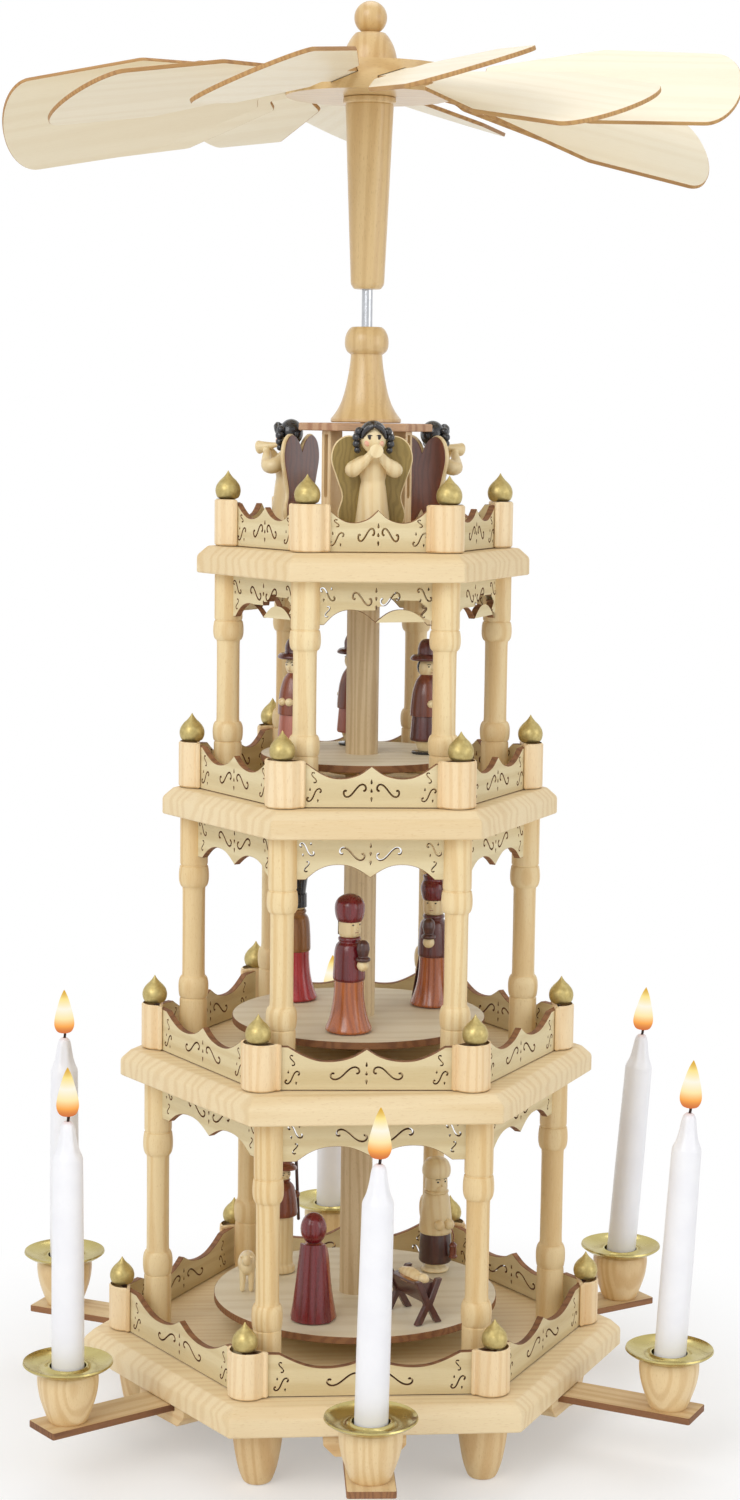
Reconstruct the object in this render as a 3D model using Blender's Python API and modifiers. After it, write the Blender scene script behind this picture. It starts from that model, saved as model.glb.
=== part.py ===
"""Candle carousel: a four-tier wooden pyramid whose rotor turns in the warm air of six candles.

Metres, +Z up. The origin is on the rotor's axis, on the surface that the feet stand on, and the
front is -Y. Three tiers of turntables, poles and figures turn with the rotor. The rest stands.
"""
import math

import bmesh
import bpy
from mathutils import Matrix

# Clearances shared by all pieces
SEAT_GAP = 0.0003
RUNNING_GAP = 0.0020
GLUE_DEPTH = 0.0008
CUT_OVERRUN = 0.0020
MERGE_DISTANCE = 0.00001
SMOOTH_ANGLE = math.radians(38)
FLAT_ANGLE = math.radians(0.3)

# Boards: a base and three decks, all hexagons with a corner at +X
SIDES = 6
TURN = math.tau / SIDES
BOARD_RADII = (0.1250, 0.1084, 0.0898, 0.0749)
BASE_THICKNESS = 0.0123
DECK_THICKNESS = 0.0120
EDGE_CHAMFER = 0.0043
TIER_CLEARS = (0.1190, 0.1080, 0.0965)
FOOT_HEIGHT = 0.0282
FOOT_RADIUS = 0.0110
FOOT_CIRCLE = 0.0980
FOOT_PROFILE_SHARES = ((0.40, 0.0), (0.56, 0.04), (0.68, 0.15), (0.88, 0.45), (1.0, 0.90), (1.0, 1.0))

# Railings: a half-round post on each corner with a gilt onion, and a thin panel on each side. Each
# railing and each arcade is glued on a little out of true: the turns are in degrees.
RAILING_TURNS = (-0.9, -2.4, -1.3, 1.3)
POST_CIRCLES = (0.1037, 0.0892, 0.0728, 0.0574)
POST_RADIUS = 0.0096
POST_HEIGHT = 0.0204
POST_ARC_STEPS = 5
PANEL_THICKNESS = 0.0030
PANEL_INSET = 0.0030
PANEL_HEIGHT = 0.0192
PANEL_TOP_SHARES = ((0.0, 0.93), (0.12, 0.76), (0.23, 0.68), (0.345, 0.65), (0.47, 0.68),
                    (0.60, 0.80), (0.73, 0.98))
ONION_RADIUS = 0.0056
ONION_HEIGHT = 0.0126
ONION_PLACE_SHARE = 0.38
ONION_PROFILE_SHARES = ((0.56, 0.0), (1.0, 0.24), (0.90, 0.50), (0.30, 0.76))

# Arcades: a turned column under each corner of a deck, and a thin valance between two columns
ARCADE_TURNS = (0.4, -1.3, 0.7)
COLUMN_CIRCLES = (0.0911, 0.0753, 0.0605)
COLUMN_RADIUS = 0.0068
COLUMN_PROFILE_SHARES = ((0.91, 0.0), (0.91, 0.21), (1.0, 0.26), (0.75, 0.33), (0.75, 0.67),
                         (1.0, 0.73), (0.92, 0.79), (0.92, 1.0))
VALANCE_DEPTH = 0.0187
VALANCE_BOTTOM_SHARES = ((0.0, 0.95), (0.12, 0.79), (0.23, 0.69), (0.345, 0.655), (0.48, 0.68),
                         (0.61, 0.79), (0.74, 1.0))

# Candle arms, their holders under the base, cups, drip trays and candles: azimuths in degrees
ARM_AZIMUTHS = {"front": -92.4, "front_right": -31.3, "back_right": 27,
                "back": 90, "back_left": 151.4, "front_left": 212.1}
ARM_WIDTH = 0.0204
ARM_THICKNESS = 0.0030
ARM_ROOT = 0.0870
ARM_NOSE = 0.0135
HOLDER_WIDTH = 0.0354
HOLDER_HEIGHT = 0.0098
HOLDER_CHAMFER = 0.0050
HOLDER_ROOT = 0.0850
HOLDER_SETBACK = 0.0018
CUP_CIRCLE = 0.1540
CUP_HEIGHT = 0.0226
CUP_RADIUS = 0.0132
CUP_PROFILE_SHARES = ((0.94, 1.0), (1.0, 0.86), (0.97, 0.62), (0.82, 0.28), (0.66, 0.06), (0.60, 0.0))
SOCKET_DEPTH = 0.0100
SOCKET_WALL = 0.0006
CANDLE_CLEARANCE = 0.0009
TRAY_RADIUS = 0.0194
TRAY_RISE = 0.0030
TRAY_SHEET = 0.0007
TRAY_COLLAR = 0.0012
CANDLE_RADIUS = 0.0070
CANDLE_LENGTH = 0.1180
CANDLE_TAPER = 0.0165
CANDLE_NECK_RADIUS = 0.0024
CANDLE_TOP_SHARE = 0.93
CANDLE_LEANS = {"front": math.radians(1), "front_right": math.radians(3),
                "back_right": math.radians(4)}
WICK_RADIUS = 0.0008
WICK_HEIGHT = 0.0052

# Top tier: three slotted uprights carry a roof plate and the bell that guides the rod
UPRIGHT_AZIMUTHS = (-150, -30, 90)
UPRIGHT_CIRCLE = 0.0180
UPRIGHT_WIDTH = 0.0070
UPRIGHT_DEPTH = 0.0064
UPRIGHT_HEIGHT = 0.0511
UPRIGHT_GROOVE = 0.0024
ROOF_RADIUS = 0.0300
ROOF_THICKNESS = 0.0034
ROOF_CHAMFER = 0.0006
BELL_HEIGHT = 0.0420
BELL_RADIUS = 0.0157
BELL_PROFILE_SHARES = ((0.44, 1.0), (0.57, 0.935), (0.62, 0.85), (0.57, 0.765), (0.47, 0.72),
                       (0.45, 0.68), (0.51, 0.48), (0.67, 0.26), (0.83, 0.157), (0.97, 0.07),
                       (1.0, 0.035), (1.0, 0.0))

# Shaft: a pointed steel rod in a bearing cup, with a pole over it on each turning tier
ROD_RADIUS = 0.0024
ROD_POINT = 0.0040
BEARING_RADIUS = 0.0080
BEARING_HEIGHT = 0.0065
BEARING_FLANGE = 0.0020
BEARING_LIP = 0.0012
BEARING_BOWL_SHARE = 0.60
POLE_RADIUS = 0.0073
ROD_SHOWN = 0.0165
TURNTABLE_RADII = (0.0652, 0.0576, 0.0455)
TURNTABLE_RISES = (0.0160, 0.0155, 0.0155)
TURNTABLE_THICKNESS = 0.0032
TURNTABLE_BOSS_RADIUS = 0.0160
TURNTABLE_BOSS_HEIGHT = 0.0050

# Rotor: spindle, slotted hub, twelve blades and the knob on top. The blades sit a little loosely in
# their slots: each has its own turn from the even spacing, its own droop and its own pitch, in degrees.
SPINDLE_LENGTH = 0.0830
SPINDLE_FOOT_RADIUS = 0.0074
SPINDLE_TOP_RADIUS = 0.0106
SPINDLE_CUFF_RADIUS = 0.0116
SPINDLE_CUFF_HEIGHT = 0.0030
SPINDLE_BORE_SHARE = 0.62
SPINDLE_ROUNDING = 0.0025
HUB_RADIUS = 0.0370
HUB_THICKNESS = 0.0125
BLADE_PHASE = math.radians(5)
BLADE_TURNS = (5, 5, 4, 1, -3, -1, 0, 0, 2, 5, 0, 9)
BLADE_DROOPS = (12, 5, 0, 0, 0, 6, 11, 9, 7, 5, 10, 2)
BLADE_PITCHES = (40, 32, 17, 25, 35, 35, 38, 18, 20, 18, 20, 38)
BLADES = len(BLADE_TURNS)
BLADE_RADIUS = 0.1620
BLADE_THICKNESS = 0.0018
BLADE_SLOT_DEPTH = 0.0110
BLADE_NECK_HALF_WIDTH = 0.0062
BLADE_SHOULDER_RADIUS = 0.0500
BLADE_SHOULDER_HALF_WIDTH = 0.0120
BLADE_KINK_RADIUS = 0.0998
BLADE_HALF_WIDTH = 0.0285
BLADE_TIP_RADIUS = 0.1484
BLADE_TIP_HALF_WIDTH = 0.0275
BLADE_TIP_STEPS = 8
KNOB_RADIUS = 0.0118
KNOB_HEIGHT = 0.0153
KNOB_BALL_RADIUS = 0.0072
KNOB_PROFILE_SHARES = ((0.97, 0.0), (1.0, 0.12), (0.97, 0.40), (0.80, 0.74), (0.56, 0.96))

# Figures: heights, and where they stand: an azimuth in degrees on a circle round the axis
KING_HEIGHT = 0.0616
KING_RADIUS = 0.0104
KING_AZIMUTHS = (-102, 26, 130)
KING_CIRCLES = (0.0360, 0.0400, 0.0422)
KING_GIFT_SHARE = 0.50
BEARDED_MAN_HEIGHT = 0.0550
BEARDED_MAN_RADIUS = 0.0088
BEARDED_MAN_AZIMUTH = 34
BEARDED_MAN_CIRCLE = 0.0486
BEARDED_MAN_HANDS_SHARE = 0.46
HERDSMAN_HEIGHT = 0.0575
HERDSMAN_RADIUS = 0.0078
HERDSMAN_AZIMUTH = 138
HERDSMAN_CIRCLE = 0.0441
STAFF_RADIUS = 0.0009
STAFF_OFFSET = 0.0082
STAFF_FOOT_SHARE = 0.45
FIST_SHARE = 0.62
WOMAN_HEIGHT = 0.0494
WOMAN_RADIUS = 0.0104
WOMAN_AZIMUTH = -120
WOMAN_CIRCLE = 0.0440
WOMAN_HANDS_SHARE = 0.42
LAMB_LENGTH = 0.0220
LAMB_HEIGHT = 0.0190
LAMB_AZIMUTH = 175
LAMB_CIRCLE = 0.0500
LAMB_LEG_THICKNESS = 0.0020
LAMB_GIRTH_SHARE = 0.26
LAMB_TRUNK_SHARE = 0.82
LAMB_NECK_SHARE = 0.45
LAMB_LEG_SHARES = (0.45, 0.45)
MANGER_LENGTH = 0.0270
MANGER_WIDTH = 0.0140
MANGER_HEIGHT = 0.0200
MANGER_BOARD = 0.0022
MANGER_AZIMUTH = -59
MANGER_CIRCLE = 0.0442
MANGER_TURN = math.radians(-94)
MANGER_WAIST_SHARE = 0.42
MANGER_WAIST_WIDTH_SHARE = 0.70
MANGER_TROUGH_SHARES = (0.90, 0.92, 0.92)
CHILD_STRETCH_SHARES = (3, 1, 1)
SHEPHERD_HEIGHT = 0.0520
SHEPHERD_RADIUS = 0.0078
SHEPHERD_AZIMUTHS = (-3, 93, 172)
SHEPHERD_CIRCLES = (0.0290, 0.0310, 0.0308)
HAND_RADIUS = 0.0024
ANGEL_HEIGHT = 0.0570
ANGEL_RADIUS = 0.0090
ANGEL_AZIMUTHS = {"front": -90, "right": 30, "left": 150}
ANGEL_CIRCLE = 0.0385
ANGEL_ARM_RADIUS = 0.0026
ANGEL_ARM_SHARES = ((0.40, 0.0, 0.69), (1.0, -0.80, 0.64), (0.12, -1.0, 0.81))
ANGEL_WING_SHARES = (0.66, 0.165)
HORN_RADIUS = 0.0022
HORN_SHARES = (-1.9, 0.75)
WING_THICKNESS = 0.0020
WING_SPAN = 0.0360
WING_HEIGHT = 0.0400

KING_PROFILE_SHARES = ((0.34, 1.0), (0.63, 0.91), (0.47, 0.81), (0.44, 0.70), (0.60, 0.62),
                       (0.70, 0.40), (0.60, 0.37), (0.74, 0.16), (1.0, 0.02))
BEARDED_MAN_PROFILE_SHARES = ((0.36, 1.0), (0.76, 0.91), (0.62, 0.82), (0.54, 0.71), (0.84, 0.66),
                              (1.0, 0.40), (0.86, 0.37), (0.84, 0.08), (0.66, 0.05))
HERDSMAN_PROFILE_SHARES = ((0.50, 1.0), (0.86, 0.92), (0.62, 0.90), (0.52, 0.78), (0.82, 0.72),
                           (1.0, 0.43), (0.78, 0.41), (0.78, 0.06), (0.86, 0.03))
WOMAN_PROFILE_SHARES = ((0.20, 1.0), (0.46, 0.94), (0.54, 0.83), (0.40, 0.73), (0.60, 0.65),
                        (0.66, 0.52), (0.80, 0.28), (1.0, 0.03))
SHEPHERD_PROFILE_SHARES = ((0.30, 1.0), (0.50, 0.94), (0.80, 0.85), (0.54, 0.82), (0.48, 0.74),
                           (0.64, 0.67), (0.95, 0.34), (0.80, 0.32), (0.90, 0.12), (0.60, 0.04))
ANGEL_PROFILE_SHARES = ((0.30, 1.0), (0.62, 0.95), (0.70, 0.87), (0.60, 0.79), (0.36, 0.76),
                        (0.66, 0.71), (0.66, 0.56), (1.0, 0.02))
WING_OUTLINE_SHARES = ((0.0, 0.72), (0.12, 0.92), (0.30, 0.99), (0.47, 0.88), (0.48, 0.70),
                       (0.34, 0.34), (0.41, 0.14), (0.33, 0.0), (0.12, 0.10))

# Facets of round pieces
FINE_STEPS = 24
ROUND_STEPS = 16
SMALL_STEPS = 12
TINY_STEPS = 8
BEAD_STEPS = 6
BEAD_RINGS = 4
BALL_RINGS = 6

# Heights worked out from the chain of pieces, from the floor up
BASE_TOP = FOOT_HEIGHT + BASE_THICKNESS
TIERS = len(TIER_CLEARS)
FLOOR_HEIGHTS = [BASE_TOP]
for clear in TIER_CLEARS:
    FLOOR_HEIGHTS.append(FLOOR_HEIGHTS[-1] + clear + DECK_THICKNESS)
ROOF_BOTTOM = FLOOR_HEIGHTS[-1] + SEAT_GAP + UPRIGHT_HEIGHT
ROOF_TOP = ROOF_BOTTOM + ROOF_THICKNESS
BELL_FOOT = ROOF_TOP + SEAT_GAP
SPINDLE_FOOT = BELL_FOOT + BELL_HEIGHT + ROD_SHOWN
HUB_FOOT = SPINDLE_FOOT + SPINDLE_LENGTH
HUB_MIDDLE = HUB_FOOT + HUB_THICKNESS / 2
KNOB_FOOT = HUB_FOOT + HUB_THICKNESS
BEARING_FOOT = BASE_TOP - BEARING_HEIGHT + BEARING_FLANGE
ROD_FOOT = BEARING_FOOT + BEARING_HEIGHT * (1 - BEARING_BOWL_SHARE) + SEAT_GAP
ROD_TOP = SPINDLE_FOOT + SPINDLE_LENGTH * SPINDLE_BORE_SHARE - SEAT_GAP
ARM_TOP = FOOT_HEIGHT - SEAT_GAP
ARM_END = CUP_CIRCLE + ARM_NOSE
SOCKET_RADIUS = CANDLE_RADIUS + CANDLE_CLEARANCE
TRAY_FOOT = ARM_TOP + CUP_HEIGHT + SEAT_GAP
SOCKET_FLOOR = TRAY_FOOT - SOCKET_DEPTH + SOCKET_WALL
CUP_BORE_RADIUS = SOCKET_RADIUS + SOCKET_WALL + SEAT_GAP
ROD_BORE = ROD_RADIUS + SEAT_GAP
POLE_HOLE = POLE_RADIUS + RUNNING_GAP
FRONT_TURN = math.radians(90)

PARTS = None
TOOLS = None


def clear_scene():
    """Remove every object that the file starts with."""
    for item in list(bpy.data.objects):
        bpy.data.objects.remove(item, do_unlink=True)


def new_collection(name):
    """A collection of its own under the scene."""
    group = bpy.data.collections.new(name)
    bpy.context.scene.collection.children.link(group)
    return group


def new_material(name, colour, roughness, metallic=0.0):
    """A Principled material with one colour."""
    made = bpy.data.materials.new(name)
    made.use_nodes = True
    shader = made.node_tree.nodes["Principled BSDF"]
    shader.inputs["Base Color"].default_value = (*colour, 1.0)
    shader.inputs["Roughness"].default_value = roughness
    shader.inputs["Metallic"].default_value = metallic
    return made


def make_materials():
    """One material for each finish of the carousel."""
    return {
        "pine": new_material("pine", (0.80, 0.62, 0.40), 0.55),
        "beech": new_material("beech", (0.72, 0.50, 0.28), 0.45),
        "birch_ply": new_material("birch_ply", (0.82, 0.70, 0.50), 0.60),
        "brass": new_material("brass", (0.72, 0.58, 0.26), 0.25, 1.0),
        "steel": new_material("steel", (0.60, 0.60, 0.62), 0.20, 1.0),
        "wax": new_material("wax", (0.92, 0.92, 0.92), 0.40),
        "stained_red": new_material("stained_red", (0.28, 0.03, 0.03), 0.35),
        "stained_brown": new_material("stained_brown", (0.25, 0.10, 0.05), 0.40),
        "pale_wood": new_material("pale_wood", (0.83, 0.70, 0.47), 0.50),
    }


def front_matrix(azimuth, distance, height):
    """Turn a piece drawn for the front (-Y) to an azimuth in radians, at a distance from the axis."""
    return Matrix.Rotation(azimuth + FRONT_TURN, 4, "Z") @ Matrix.Translation((0, -distance, height))


def upright_matrix(azimuth, distance, height):
    """The same, for an outline drawn flat that has to stand up, facing outwards."""
    return front_matrix(azimuth, distance, height) @ Matrix.Rotation(FRONT_TURN, 4, "X")


def corner_azimuths(turn=0.0):
    """The six corners of a board, or of a ring of pieces that is glued on with a small turn."""
    return [turn + TURN * index for index in range(SIDES)]


def side_azimuths(turn=0.0):
    """The middles of the six sides of a board, or of a ring of pieces with a small turn."""
    return [turn + TURN * (index + 1 / 2) for index in range(SIDES)]


def apothem(circumradius):
    """From the axis to the middle of a hexagon's side."""
    return circumradius * math.cos(TURN / 2)


def new_object(name, mesh, matrix=None):
    """Wrap a mesh in an object of the parts collection."""
    item = bpy.data.objects.new(name, mesh)
    PARTS.objects.link(item)
    if matrix is not None:
        item.matrix_world = matrix
    return item


def object_from_bmesh(name, shape, matrix=None):
    """Turn a bmesh into an object."""
    mesh = bpy.data.meshes.new(name)
    shape.to_mesh(mesh)
    shape.free()
    return new_object(name, mesh, matrix)


def turned(name, profile, steps, matrix=None, ring=False):
    """A turned piece from (radius, height) points: down the outer side, up any bore.

    A profile that starts and ends on the axis makes a solid, and a ring profile closes on itself.
    """
    edges = [(index, index + 1) for index in range(len(profile) - 1)]
    if ring:
        edges.append((len(profile) - 1, 0))
    mesh = bpy.data.meshes.new(name)
    mesh.from_pydata([(radius, 0, height) for radius, height in profile], edges, [])
    item = new_object(name, mesh, matrix)
    screw = item.modifiers.new("Turning", "SCREW")
    screw.axis = "Z"
    screw.steps = steps
    screw.render_steps = steps
    screw.use_merge_vertices = True
    screw.merge_threshold = MERGE_DISTANCE
    return item


def shaped(shares, radius, height, foot=0.0):
    """Profile points from (radius share, height share) pairs."""
    return [(radius * across, foot + height * up) for across, up in shares]


def turned_solid(name, points, steps, matrix=None):
    """A turned piece with no bore, from outer points in order of falling height."""
    profile = [(0, points[0][1]), *points, (0, points[-1][1])]
    return turned(name, profile, steps, matrix)


def meshed_curve(name, curve, matrix):
    """Turn a curve into a mesh object with its caps welded on."""
    drawn = new_object(name + "_curve", curve)
    view = bpy.context.evaluated_depsgraph_get()
    mesh = bpy.data.meshes.new_from_object(drawn.evaluated_get(view))
    bpy.data.objects.remove(drawn, do_unlink=True)
    shape = bmesh.new()
    shape.from_mesh(mesh)
    bmesh.ops.remove_doubles(shape, verts=shape.verts, dist=MERGE_DISTANCE)
    bmesh.ops.recalc_face_normals(shape, faces=shape.faces)
    shape.to_mesh(mesh)
    shape.free()
    return new_object(name, mesh, matrix)


def extruded(name, outline, thickness, matrix=None):
    """A flat piece: an outline in the XY plane, thickened evenly to both sides."""
    curve = bpy.data.curves.new(name, "CURVE")
    curve.dimensions = "2D"
    curve.fill_mode = "BOTH"
    curve.extrude = thickness / 2
    spline = curve.splines.new("POLY")
    spline.points.add(len(outline) - 1)
    for point, (x, y) in zip(spline.points, outline):
        point.co = (x, y, 0, 1)
    spline.use_cyclic_u = True
    return meshed_curve(name, curve, matrix)


def round_bar(name, route, radius, matrix=None):
    """A thin round bar along a route of points, with filled ends."""
    curve = bpy.data.curves.new(name, "CURVE")
    curve.dimensions = "3D"
    curve.bevel_depth = radius
    curve.bevel_resolution = 1
    curve.use_fill_caps = True
    spline = curve.splines.new("POLY")
    spline.points.add(len(route) - 1)
    for point, place in zip(spline.points, route):
        point.co = (*place, 1)
    return meshed_curve(name, curve, matrix)


def ball(name, radius, centre, stretch=(1, 1, 1), matrix=None):
    """A small ball or egg at a centre in the piece's own frame."""
    shape = bmesh.new()
    bmesh.ops.create_uvsphere(shape, u_segments=BEAD_STEPS, v_segments=BEAD_RINGS, radius=radius)
    bmesh.ops.scale(shape, vec=stretch, verts=shape.verts)
    bmesh.ops.translate(shape, vec=centre, verts=shape.verts)
    return object_from_bmesh(name, shape, matrix)


def block(name, size, centre, matrix=None):
    """A plain block at a centre in the piece's own frame."""
    shape = bmesh.new()
    bmesh.ops.create_cube(shape, size=1)
    bmesh.ops.scale(shape, vec=size, verts=shape.verts)
    bmesh.ops.translate(shape, vec=centre, verts=shape.verts)
    return object_from_bmesh(name, shape, matrix)


def bake(item):
    """Replace a piece's mesh by the result of its modifiers."""
    view = bpy.context.evaluated_depsgraph_get()
    mesh = bpy.data.meshes.new_from_object(item.evaluated_get(view))
    item.modifiers.clear()
    item.data = mesh
    return item


def combine(target, others, operation):
    """Join pieces to the target, or cut them from it, and drop the helpers afterwards."""
    helpers = bpy.data.collections.new(target.name + "_" + operation.lower())
    TOOLS.children.link(helpers)
    for item in others:
        PARTS.objects.unlink(item)
        helpers.objects.link(item)
        item.hide_render = True
        item.display_type = "WIRE"
    cut = target.modifiers.new(operation.title(), "BOOLEAN")
    cut.operation = operation
    cut.operand_type = "COLLECTION"
    cut.collection = helpers
    cut.solver = "EXACT"
    bake(target)
    for item in others:
        bpy.data.objects.remove(item, do_unlink=True)
    bpy.data.collections.remove(helpers)
    return target


def glued(name, pieces):
    """Pieces that are glued together on the real object, as one closed body."""
    pieces[0].name = name
    return combine(pieces[0], pieces[1:], "UNION")


def finish(item, material):
    """Merge a piece's coplanar faces, give it its material and shade its round faces smooth."""
    bake(item)
    shape = bmesh.new()
    shape.from_mesh(item.data)
    bmesh.ops.dissolve_limit(shape, angle_limit=FLAT_ANGLE, verts=shape.verts, edges=shape.edges)
    shape.to_mesh(item.data)
    shape.free()
    item.data.materials.clear()
    item.data.materials.append(material)
    item.data.shade_smooth()
    item.data.set_sharp_from_angle(angle=SMOOTH_ANGLE)


def hexagon_board(name, circumradius, thickness, top, chamfer):
    """A hexagonal board with its top edges chamfered, its corners where corner_azimuths puts them."""
    shape = bmesh.new()
    bmesh.ops.create_cone(shape, cap_ends=True, segments=SIDES, radius1=circumradius,
                          radius2=circumradius, depth=thickness)
    upper = [edge for edge in shape.edges if all(vert.co.z > 0 for vert in edge.verts)]
    bmesh.ops.bevel(shape, geom=upper, offset=chamfer, offset_type="OFFSET", segments=1,
                    profile=0.5, affect="EDGES")
    bmesh.ops.rotate(shape, matrix=Matrix.Rotation(TURN / 2, 3, "Z"), verts=shape.verts)
    bmesh.ops.translate(shape, vec=(0, 0, top - thickness / 2), verts=shape.verts)
    return object_from_bmesh(name, shape)


def round_cutter(name, radius, bottom, top, steps):
    """A plain round cutter between two heights."""
    return turned_solid(name, [(radius, top), (radius, bottom)], steps)


def turned_foot(azimuth):
    """A foot that tapers to a rounded toe, glued under a corner of the base."""
    points = shaped(FOOT_PROFILE_SHARES, FOOT_RADIUS, FOOT_HEIGHT + GLUE_DEPTH)
    return turned_solid("foot", points[::-1], SMALL_STEPS, front_matrix(azimuth, FOOT_CIRCLE, 0))


def arm_holder(azimuth):
    """A block with chamfered lower corners and a channel on top, through which a candle arm slides."""
    half = HOLDER_WIDTH / 2
    top = FOOT_HEIGHT + GLUE_DEPTH
    bottom = FOOT_HEIGHT - HOLDER_HEIGHT
    channel = ARM_WIDTH / 2 + SEAT_GAP
    sill = ARM_TOP - ARM_THICKNESS - SEAT_GAP
    right = [(half - HOLDER_CHAMFER, bottom), (half, bottom + HOLDER_CHAMFER), (half, top),
             (channel, top), (channel, sill)]
    outline = right + [(-x, y) for x, y in reversed(right)]
    end = apothem(BOARD_RADII[0]) - HOLDER_SETBACK
    middle = (HOLDER_ROOT + end) / 2
    return extruded("holder", outline, end - HOLDER_ROOT, upright_matrix(azimuth, middle, 0))


def base_board():
    """The base with its six feet and six arm holders, and the recess for the bearing cup."""
    top = FLOOR_HEIGHTS[0]
    board = hexagon_board("base_board", BOARD_RADII[0], BASE_THICKNESS, top, EDGE_CHAMFER)
    added = [turned_foot(azimuth) for azimuth in corner_azimuths()]
    added += [arm_holder(math.radians(degrees)) for degrees in ARM_AZIMUTHS.values()]
    recess = round_cutter("bearing_recess", BEARING_RADIUS + SEAT_GAP,
                          BEARING_FOOT - SEAT_GAP, top + CUT_OVERRUN, ROUND_STEPS)
    combine(board, added, "UNION")
    return combine(board, [recess], "DIFFERENCE")


def deck_board(tier):
    """A deck over a tier, with a round hole that the turning pole runs through."""
    top = FLOOR_HEIGHTS[tier]
    name = "deck_board_%d" % tier
    board = hexagon_board(name, BOARD_RADII[tier], DECK_THICKNESS, top, EDGE_CHAMFER)
    hole = round_cutter("pole_hole", POLE_HOLE, top - DECK_THICKNESS - CUT_OVERRUN,
                        top + CUT_OVERRUN, ROUND_STEPS)
    return combine(board, [hole], "DIFFERENCE")


def half_round():
    """Outline of a railing post: a half circle towards the front, with its flat towards the axis."""
    arc = [math.pi * (1 + index / POST_ARC_STEPS) for index in range(POST_ARC_STEPS + 1)]
    return [(POST_RADIUS * math.cos(angle), POST_RADIUS * math.sin(angle)) for angle in arc]


def railing_panel(circle, azimuth, foot):
    """A thin panel between two posts: high at the posts, scooped, with a cusp in the middle."""
    half = circle / 2
    right = [(half * along, PANEL_HEIGHT * up) for along, up in PANEL_TOP_SHARES]
    right.append((half, PANEL_HEIGHT))
    left = [(-x, y) for x, y in right[:0:-1]]
    outline = [(-half, 0), (half, 0)] + right[::-1] + left[::-1]
    return extruded("railing_panel", outline, PANEL_THICKNESS,
                    upright_matrix(azimuth, apothem(circle), foot))


def railing(level):
    """Six posts with gilt onions and six scooped panels, round the edge of one board."""
    foot = FLOOR_HEIGHTS[level] + SEAT_GAP
    circle = POST_CIRCLES[level]
    turn = math.radians(RAILING_TURNS[level])
    pieces = []
    for azimuth in corner_azimuths(turn):
        middle = foot + POST_HEIGHT / 2
        pieces.append(extruded("post", half_round(), POST_HEIGHT, front_matrix(azimuth, circle, middle)))
        seat = foot + POST_HEIGHT - GLUE_DEPTH
        onion = shaped(ONION_PROFILE_SHARES[::-1], ONION_RADIUS, ONION_HEIGHT)
        tip = [(0, ONION_HEIGHT), *onion, (0, 0)]
        place = front_matrix(azimuth, circle + POST_RADIUS * ONION_PLACE_SHARE, seat)
        pieces.append(turned("onion", tip, BEAD_STEPS, place))
    for azimuth in side_azimuths(turn):
        pieces.append(railing_panel(circle + PANEL_INSET, azimuth, foot))
    return glued("railing_%d" % (level + 1), pieces)


def valance(circle, azimuth, top):
    """A thin board between two columns, its lower edge cut in two arches with a cusp between."""
    half = circle / 2
    right = [(half * along, -VALANCE_DEPTH * down) for along, down in VALANCE_BOTTOM_SHARES]
    right.append((half, -VALANCE_DEPTH))
    left = [(-x, y) for x, y in right[:0:-1]]
    outline = [(half, 0), (-half, 0)] + left + right
    return extruded("valance", outline, PANEL_THICKNESS, upright_matrix(azimuth, apothem(circle), top))


def arcade(tier):
    """Six turned columns and six valances that carry the next deck."""
    foot = FLOOR_HEIGHTS[tier] + SEAT_GAP
    height = TIER_CLEARS[tier] - SEAT_GAP - SEAT_GAP
    circle = COLUMN_CIRCLES[tier]
    turn = math.radians(ARCADE_TURNS[tier])
    points = shaped(COLUMN_PROFILE_SHARES[::-1], COLUMN_RADIUS, height)
    pieces = []
    for azimuth in corner_azimuths(turn):
        pieces.append(turned_solid("column", points, TINY_STEPS, front_matrix(azimuth, circle, foot)))
    for azimuth in side_azimuths(turn):
        pieces.append(valance(circle, azimuth, foot + height))
    return glued("arcade_%d" % (tier + 1), pieces)


def candle_cup(matrix):
    """A turned egg-shaped cup with a bore for the brass socket."""
    outer = shaped(CUP_PROFILE_SHARES, CUP_RADIUS, CUP_HEIGHT)
    floor = CUP_HEIGHT - SOCKET_DEPTH - SEAT_GAP
    profile = [(0, floor), (CUP_BORE_RADIUS, floor), (CUP_BORE_RADIUS, CUP_HEIGHT), *outer,
               (outer[-1][0], -GLUE_DEPTH), (0, -GLUE_DEPTH)]
    return turned("cup", profile, SMALL_STEPS, matrix)


def candle_arm(name, azimuth):
    """A flat arm that slides in its holder, with the candle cup glued near its outer end."""
    half = ARM_WIDTH / 2
    outline = [(-half, -ARM_ROOT), (-half, -ARM_END), (half, -ARM_END), (half, -ARM_ROOT)]
    middle = ARM_TOP - ARM_THICKNESS / 2
    plank = extruded("arm", outline, ARM_THICKNESS, front_matrix(azimuth, 0, middle))
    cup = candle_cup(front_matrix(azimuth, CUP_CIRCLE, ARM_TOP))
    return glued("candle_arm_" + name, [plank, cup])


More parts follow.
